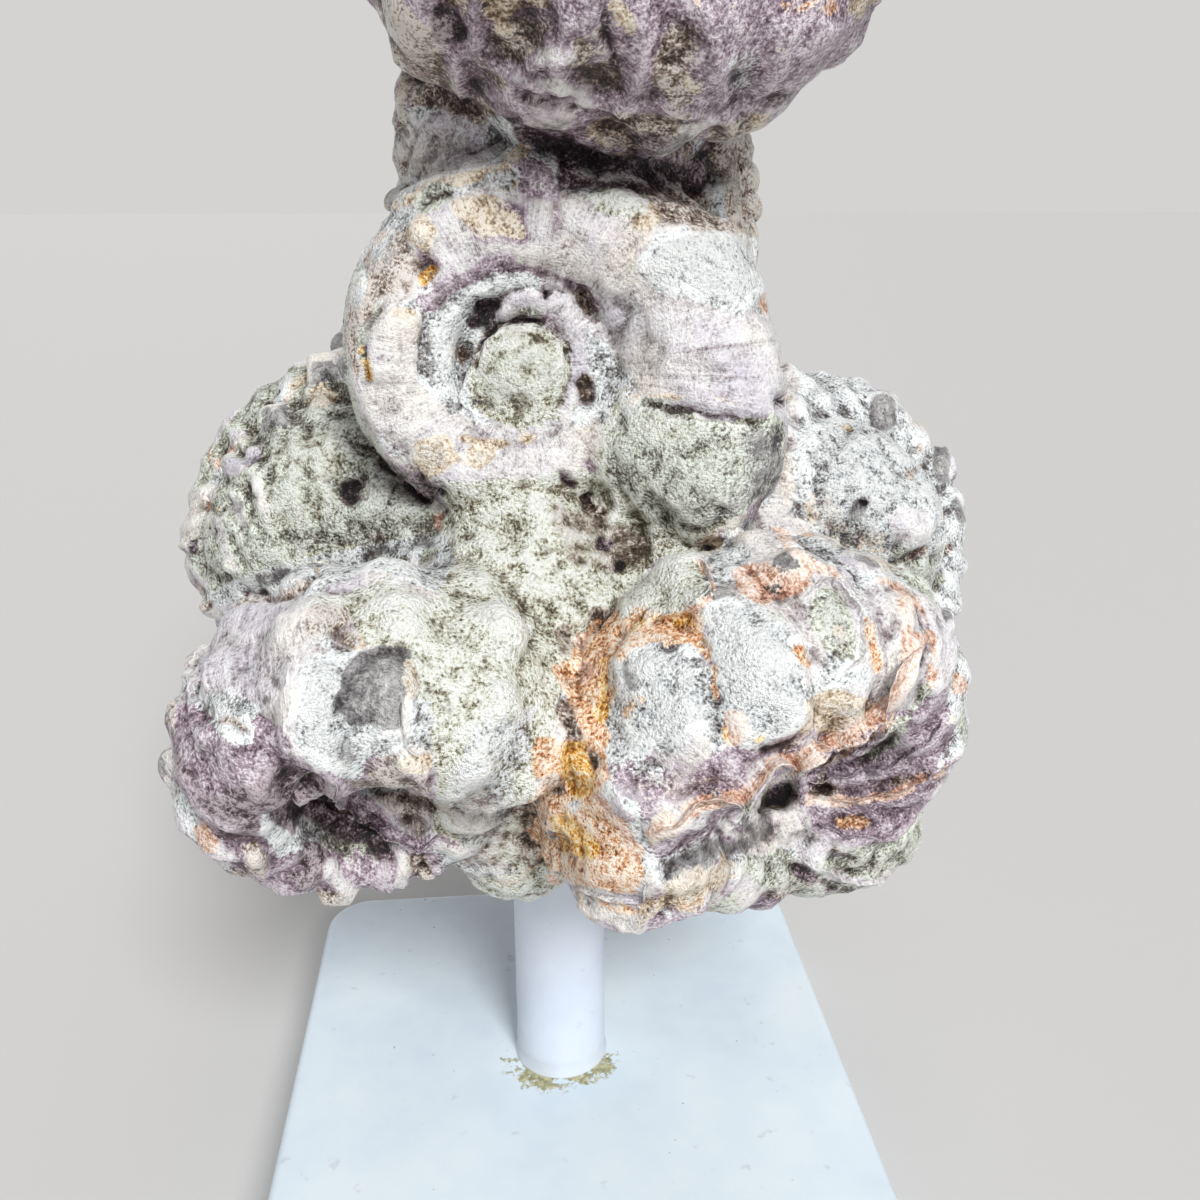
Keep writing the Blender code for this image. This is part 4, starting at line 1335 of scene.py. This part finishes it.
def grain(tree, vector, scale, detail=3.0, roughness=0.6, distortion=0.0):
    settings = {"Vector": vector, "Scale": scale, "Detail": detail}
    return node(tree, "TexNoise", settings | {"Roughness": roughness, "Distortion": distortion}).outputs[0]


def stored(tree, name, output="Fac"):
    """A value that the mesh holds at each point."""
    return node(tree, "Attribute", attribute_name=name).outputs[output]


def group(name, inputs, outputs, build):
    """A shader group. Inputs and outputs are given as name to socket kind, and build makes the outputs."""
    tree = bpy.data.node_groups.new(name, "ShaderNodeTree")
    for label, kind in inputs.items():
        tree.interface.new_socket(label, in_out="INPUT", socket_type="NodeSocket" + kind)
    for label, kind in outputs.items():
        tree.interface.new_socket(label, in_out="OUTPUT", socket_type="NodeSocket" + kind)
    entry, leave = tree.nodes.new("NodeGroupInput"), tree.nodes.new("NodeGroupOutput")
    results = build(tree, entry.outputs)
    for label in outputs:
        tree.links.new(results[label], leave.inputs[label])
    return tree


def use(tree, shader_group, **inputs):
    made = tree.nodes.new("ShaderNodeGroup")
    made.node_tree = shader_group
    for name, value in inputs.items():
        plug(tree, made.inputs[name.replace("_", " ")], value)
    return made.outputs


def new_material(name, **constants):
    made = bpy.data.materials.new(name)
    made.use_nodes = True
    shader = made.node_tree.nodes["Principled BSDF"]
    for label, value in constants.items():
        shader.inputs[label.replace("_", " ")].default_value = value
    return made, made.node_tree, shader


# Effects that the finishes share

def build_ragged(tree, given):
    """Turns a finish's soft share into a mask with a crisp, ragged edge."""
    torn = calc(tree, "MULTIPLY", calc(tree, "SUBTRACT", given["Noise"], 0.5), 1.5)
    return {"Mask": between(tree, calc(tree, "ADD", given["Share"], torn), 0.40, 0.60)}


def build_streaks(tree, given):
    """Silky lines that follow the shell's growth: Fineness is lines per millimetre."""
    stretch = node(tree, "CombineXYZ", {0: given["Fineness"], 1: 0.10, 2: 1.0}).outputs[0]
    along = node(tree, "VectorMath", {0: given["Growth"], 1: stretch}, operation="MULTIPLY").outputs[0]
    return {"Value": grain(tree, along, 1.0, 4, 0.7, 0.4)}


def build_grit(tree, given):
    """Gritty mottling, even about 0.5: Size is grains per metre."""
    total = 0.5
    fine = grain(tree, given["Vector"], given["Size"], 2, 0.7)
    coarse = grain(tree, given["Vector"], calc(tree, "MULTIPLY", given["Size"], 0.085), 4, 0.65, 0.4)
    middle = grain(tree, given["Vector"], calc(tree, "MULTIPLY", given["Size"], 0.3), 3, 0.7, 0.15)
    for layer, strength in ((coarse, 0.75), (middle, 1.5), (fine, 2.3)):
        total = calc(tree, "MULTIPLY_ADD", calc(tree, "SUBTRACT", layer, 0.5), strength, total)
    return {"Value": total, "Edge": blend(tree, 0.5, fine, coarse)}


def make_groups():
    return {
        "grit": group("grit", {"Vector": "Vector", "Size": "Float"}, {"Value": "Float", "Edge": "Float"},
                      build_grit),
        "ragged": group("ragged edge", {"Share": "Float", "Noise": "Float"}, {"Mask": "Float"}, build_ragged),
        "streaks": group("growth streaks", {"Growth": "Vector", "Fineness": "Float"}, {"Value": "Float"},
                         build_streaks),
    }


# Fossil finish

def fossil_material(groups):
    made, tree, shader = new_material("nacre and sandstone", Specular_IOR_Level=0.4)
    where = node(tree, "TexCoord").outputs["Object"]
    growth = stored(tree, "growth", "Vector")
    silk = use(tree, groups["streaks"], Growth=growth, Fineness=1.6)["Value"]
    broad_silk = use(tree, groups["streaks"], Growth=growth, Fineness=0.45)["Value"]
    grit = use(tree, groups["grit"], Vector=where, Size=2400)
    clouds = grain(tree, where, 70, 4, 0.6)
    dust_and_painted_light = grain(tree, where, 900, 5, 0.8)
    hollow, shut = stored(tree, "hollow"), stored(tree, "shut")

    def toned(source, contrast, cloudy, painted_shade):
        """How light each place of a finish is, from 0 to 1, with painted shade darkening it in hollows and
        crevices.
        """
        tone = calc(tree, "MULTIPLY_ADD", calc(tree, "SUBTRACT", source, 0.5), contrast, 0.5 + 0.12 * painted_shade)
        tone = calc(tree, "MULTIPLY_ADD", calc(tree, "SUBTRACT", clouds, 0.5), cloudy, tone)
        # painted shade: darker in hollows and in crevices that the rays find hemmed in
        tone = calc(tree, "MULTIPLY_ADD", hollow, -0.08 * painted_shade, tone)
        return calc(tree, "MULTIPLY_ADD", shut, -0.2 * painted_shade, tone)

    stony = toned(grit["Value"], 1.05, 0.5, 1)
    sandy = toned(grit["Value"], 1.0, 0.5, 1)
    lines = blend(tree, 0.4, silk, broad_silk)
    pearl = toned(blend(tree, 0.25, lines, grit["Value"]), 2.6, 0.5, 0.7)
    mauve = calc(tree, "ADD", toned(blend(tree, 0.5, lines, grit["Value"]), 1.6, 0.6, 0.6), 0.03)
    stained = calc(tree, "ADD", toned(grit["Value"], 1.05, 0.5, 0.35), 0.14)
    smoky = calc(tree, "SUBTRACT", toned(grit["Value"], 0.6, 0.3, 0.6), 0.24)
    tones = {"nacre": pearl, "coral": pearl, "lavender": mauve, "rust": stained, "amber": stained,
             "sandstone": sandy, "pepper": sandy, "grey": smoky}
    colours = {name: ramp(tree, tones.get(name, stony), PLACES, finish) for name, finish in FINISHES.items()}
    blush = ramp(tree, clouds, (0.35, 0.5, 0.64), BLUSH)
    colours["nacre"] = blend(tree, 0.8, colours["nacre"], blush, "MULTIPLY")
    colour, masks = colours["sandstone"], {}
    for name in list(FINISHES)[1:]:
        masks[name] = use(tree, groups["ragged"], Share=stored(tree, name), Noise=grit["Edge"])["Mask"]
        colour = blend(tree, masks[name], colour, colours[name])
    pearly = calc(tree, "MAXIMUM", masks["nacre"], calc(tree, "MAXIMUM", masks["lavender"], masks["coral"]))
    glassy = calc(tree, "MAXIMUM", masks["amber"], calc(tree, "MAXIMUM", masks["rust"], pearly))
    # painted highlight: ridges lightened towards chalky white in patches, partly real chalk dust, less on
    # glassy finishes
    ridge_chalk_and_highlight = calc(tree, "MULTIPLY", between(tree, hollow, -0.3, -2.0), between(tree, dust_and_painted_light, 0.40, 0.56))
    ridge_chalk_and_highlight = calc(tree, "MULTIPLY", ridge_chalk_and_highlight, between(tree, glassy, 0, 1, 0.45, 0.12))
    colour = blend(tree, ridge_chalk_and_highlight, colour, srgb(*RIDGE_CHALK_AND_HIGHLIGHT))
    # painted shade: hollows darkened in patches, partly real dirt
    hollow_dirt_and_shade = calc(tree, "MULTIPLY", between(tree, hollow, 0.3, 2.6), between(tree, dust_and_painted_light, 0.60, 0.44))
    colour = blend(tree, calc(tree, "MULTIPLY", hollow_dirt_and_shade, 0.7), colour, srgb(*HOLLOW_DIRT_AND_SHADE), "MULTIPLY")
    tree.links.new(colour, shader.inputs["Base Color"])
    tree.links.new(between(tree, glassy, 0, 1, 0.85, 0.42), shader.inputs["Roughness"])
    height = blend(tree, calc(tree, "MULTIPLY", pearly, 0.6), grit["Value"], lines)
    bump = node(tree, "Bump", {"Strength": 0.8, "Distance": 0.0005, "Height": height})
    tree.links.new(bump.outputs[0], shader.inputs["Normal"])
    return made


def make_cluster(groups):
    mesh = melted_skin()
    seen = work_surface(mesh)
    mesh = with_ledges(thinned(mesh, seen))
    lay_finishes(mesh)
    mesh.shade_smooth()
    mesh.materials.clear()
    mesh.materials.append(fossil_material(groups))
    mesh.name = "ammonite_cluster"
    cluster = place_object("ammonite_cluster", mesh)
    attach(cluster, "root")
    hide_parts("fossil_cluster")


# Stand

def paint_material(name, tints, stain_round_foot):
    made, tree, shader = new_material(name, Roughness=0.5, Specular_IOR_Level=0.4)
    where = node(tree, "TexCoord").outputs["Object"]
    clouds = grain(tree, where, 40, 4)
    colour = ramp(tree, clouds, (0.3, 0.5, 0.7), tints)
    smudges = between(tree, grain(tree, where, 240, 3), 0.66, 0.78)
    colour = blend(tree, calc(tree, "MULTIPLY", smudges, 0.4), colour, srgb(*SMUDGE))
    dots = between(tree, grain(tree, where, 700, 1), 0.80, 0.83)
    colour = blend(tree, calc(tree, "MULTIPLY", dots, 0.7), colour, srgb(*SPECK))
    if stain_round_foot:
        apart = node(tree, "VectorMath", {0: where, 1: FOOT_MIDDLE}, operation="SUBTRACT").outputs[0]
        flat = node(tree, "VectorMath", {0: apart, 1: (1, 1, 0)}, operation="MULTIPLY").outputs[0]
        reach = node(tree, "VectorMath", {0: flat}, operation="LENGTH").outputs["Value"]
        front = node(tree, "SeparateXYZ", {0: apart}).outputs[1]
        in_front = between(tree, front, 0.001, -0.007)
        ring = calc(tree, "MULTIPLY", between(tree, reach, 0.0145, 0.0095), in_front)
        flecks = grain(tree, where, 420, 4, 0.7)
        stain = between(tree, calc(tree, "MULTIPLY_ADD", ring, 0.30, flecks), 0.68, 0.78)
        tint = ramp(tree, grain(tree, where, 900, 2), (0.35, 0.65), STAIN_TINTS)
        colour = blend(tree, stain, colour, tint)
    tree.links.new(colour, shader.inputs["Base Color"])
    strokes = grain(tree, where, 150, 5, 0.7)
    bump = node(tree, "Bump", {"Strength": 0.22, "Distance": 0.0004, "Height": strokes})
    tree.links.new(bump.outputs[0], shader.inputs["Normal"])
    tree.links.new(between(tree, clouds, 0.3, 0.7, 0.42, 0.6), shader.inputs["Roughness"])
    return made


def finish_stand_piece(name, rings, node_name, material):
    """A closed solid from rings of points, lowest first, painted and put in its node's place."""
    piece = mesh_object(name, *tube(rings, rings[0].mean(axis=0), rings[-1].mean(axis=0)))
    piece.data.shade_smooth()
    piece.data.materials.append(material)
    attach(piece, "root")
    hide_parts(node_name)


def make_post():
    low, high = (np.array(corner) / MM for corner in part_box("post"))
    middle, radius = (low + high) / 2, (high[0] - low[0]) / 2
    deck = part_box("base_plate")[1][2] / MM
    shoulder = high[2] - POST_TOP
    heights = np.concatenate([[low[2], deck - 0.5], deck + np.linspace(0, 3, 13),
                              np.linspace(deck + 4, shoulder, 40),
                              shoulder + POST_TOP * np.sin(np.linspace(0.2, math.pi / 2, 6))])
    angles = np.linspace(0, TURN, POST_SIDES, endpoint=False)
    rings = []
    for height in heights:
        above = height - deck
        flare = PAINT_FOOT * math.exp(-max(above, 0) / PAINT_FOOT_SPREAD) if above > -0.2 else 0
        flare += PAINT_BEAD * math.exp(-(((above - PAINT_BEAD_AT) / PAINT_BEAD_SPREAD) ** 2))
        rounded = max(0, height - shoulder)
        shrink = POST_TOP - math.sqrt(max(POST_TOP ** 2 - rounded ** 2, 0))
        ring = np.stack([np.cos(angles), np.sin(angles), np.zeros(POST_SIDES)], 1)
        uneven = rough(ring * radius + (0, 0, height), 6, 31) * POST_UNEVEN * (above > 0)
        rings.append(ring * (radius + flare - shrink + uneven)[:, None] + (middle[0], middle[1], height))
    paint = paint_material("painted post", POST_TINTS, False)
    finish_stand_piece("post_fine", rings, "post", paint)


def rounded_square(half, corner, height):
    """One ring of a rounded square, even in number of points on every side."""
    ring = []
    inner = half - corner
    arc = [(inner + corner * math.cos(a), inner + corner * math.sin(a))
           for a in np.linspace(0, math.pi / 2, CORNER_POINTS)]
    side = [(inner * (1 - 2 * share), half) for share in np.linspace(0, 1, SIDE_POINTS)[1:-1]]
    for quarter in range(4):
        cos, sin = math.cos(quarter * math.pi / 2), math.sin(quarter * math.pi / 2)
        ring += [(x * cos - y * sin, x * sin + y * cos, height) for x, y in arc + side]
    return np.array(ring)


def make_plate():
    low, high = (np.array(corner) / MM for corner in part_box("base_plate"))
    half = (high[0] - low[0]) / 2
    under, over = low[2] + PLATE_EDGE, high[2] - PLATE_EDGE
    bends = [(PLATE_EDGE * math.sin(a), PLATE_EDGE * math.cos(a)) for a in np.linspace(0, math.pi / 2, 7)]
    profile = [(PLATE_EDGE - sin, under - cos) for sin, cos in bends]
    profile += [(0.0, height) for height in np.linspace(under, over, 9)[1:-1]]
    profile += [(PLATE_EDGE - cos, over + sin) for sin, cos in bends]
    profile += [(inset, high[2]) for inset in np.linspace(PLATE_EDGE, half - 2, 40)[1:]]
    rings = []
    for inset, height in profile:
        ring = rounded_square(half - inset, max(PLATE_CORNER - inset, 0.6), height)
        on_top = inset > PLATE_EDGE
        ring[:, 2] += rough(ring, 17, 41) * PLATE_UNEVEN * on_top - PLATE_DISH * on_top
        rings.append(ring)
    paint = paint_material("painted plate", PLATE_TINTS, True)
    finish_stand_piece("base_plate_fine", rings, "base_plate", paint)


# Stage

def make_camera():
    data = bpy.data.cameras.new("photo camera")
    data.sensor_width = SENSOR
    data.lens = SENSOR * FOCAL_PIXELS / PHOTO_SIDE
    data.clip_start = 0.005
    camera = bpy.data.objects.new("photo camera", data)
    ahead, _, _ = sight_lines()
    camera.location = Vector(EYE) * MM
    camera.rotation_euler = Vector(ahead).to_track_quat("-Z", "Y").to_euler()
    bpy.context.scene.collection.objects.link(camera)
    bpy.context.scene.camera = camera


def soft_light(name, toward, power, spread):
    """A wide soft source, far away in the given direction."""
    data = bpy.data.lights.new(name, "SUN")
    data.energy = power
    data.angle = math.radians(spread)
    lamp = bpy.data.objects.new(name, data)
    lamp.rotation_euler = (-Vector(toward)).to_track_quat("-Z", "Y").to_euler()
    bpy.context.scene.collection.objects.link(lamp)


def make_stage():
    corners = [(x * FLOOR_REACH, y * FLOOR_REACH, 0) for x, y in ((-1, -1), (1, -1), (1, 1), (-1, 1))]
    floor = mesh_object("floor", corners, [(0, 1, 2, 3)])
    made, _, _ = new_material("pale floor", Base_Color=srgb(*FLOOR), Roughness=0.9)
    floor.data.materials.append(made)
    world = bpy.data.worlds.new("studio")
    world.use_nodes = True
    light = world.node_tree.nodes["Background"]
    light.inputs[0].default_value = (1, 1, 1, 1)
    light.inputs[1].default_value = WORLD_LIGHT
    backdrop = node(world.node_tree, "Background", {"Color": srgb(*BACKDROP), "Strength": 1.0})
    rays = node(world.node_tree, "LightPath")
    mixed = node(world.node_tree, "MixShader", {0: rays.outputs["Is Camera Ray"]})
    world.node_tree.links.new(light.outputs[0], mixed.inputs[1])
    world.node_tree.links.new(backdrop.outputs[0], mixed.inputs[2])
    world.node_tree.links.new(mixed.outputs[0], world.node_tree.nodes["World Output"].inputs[0])
    bpy.context.scene.world = world
    for name, (toward, power, spread) in LIGHTS.items():
        soft_light(name, toward, power, spread)


bpy.context.scene.view_settings.view_transform = "Standard"
groups = make_groups()
make_camera()
make_stage()
make_cluster(groups)
make_post()
make_plate()
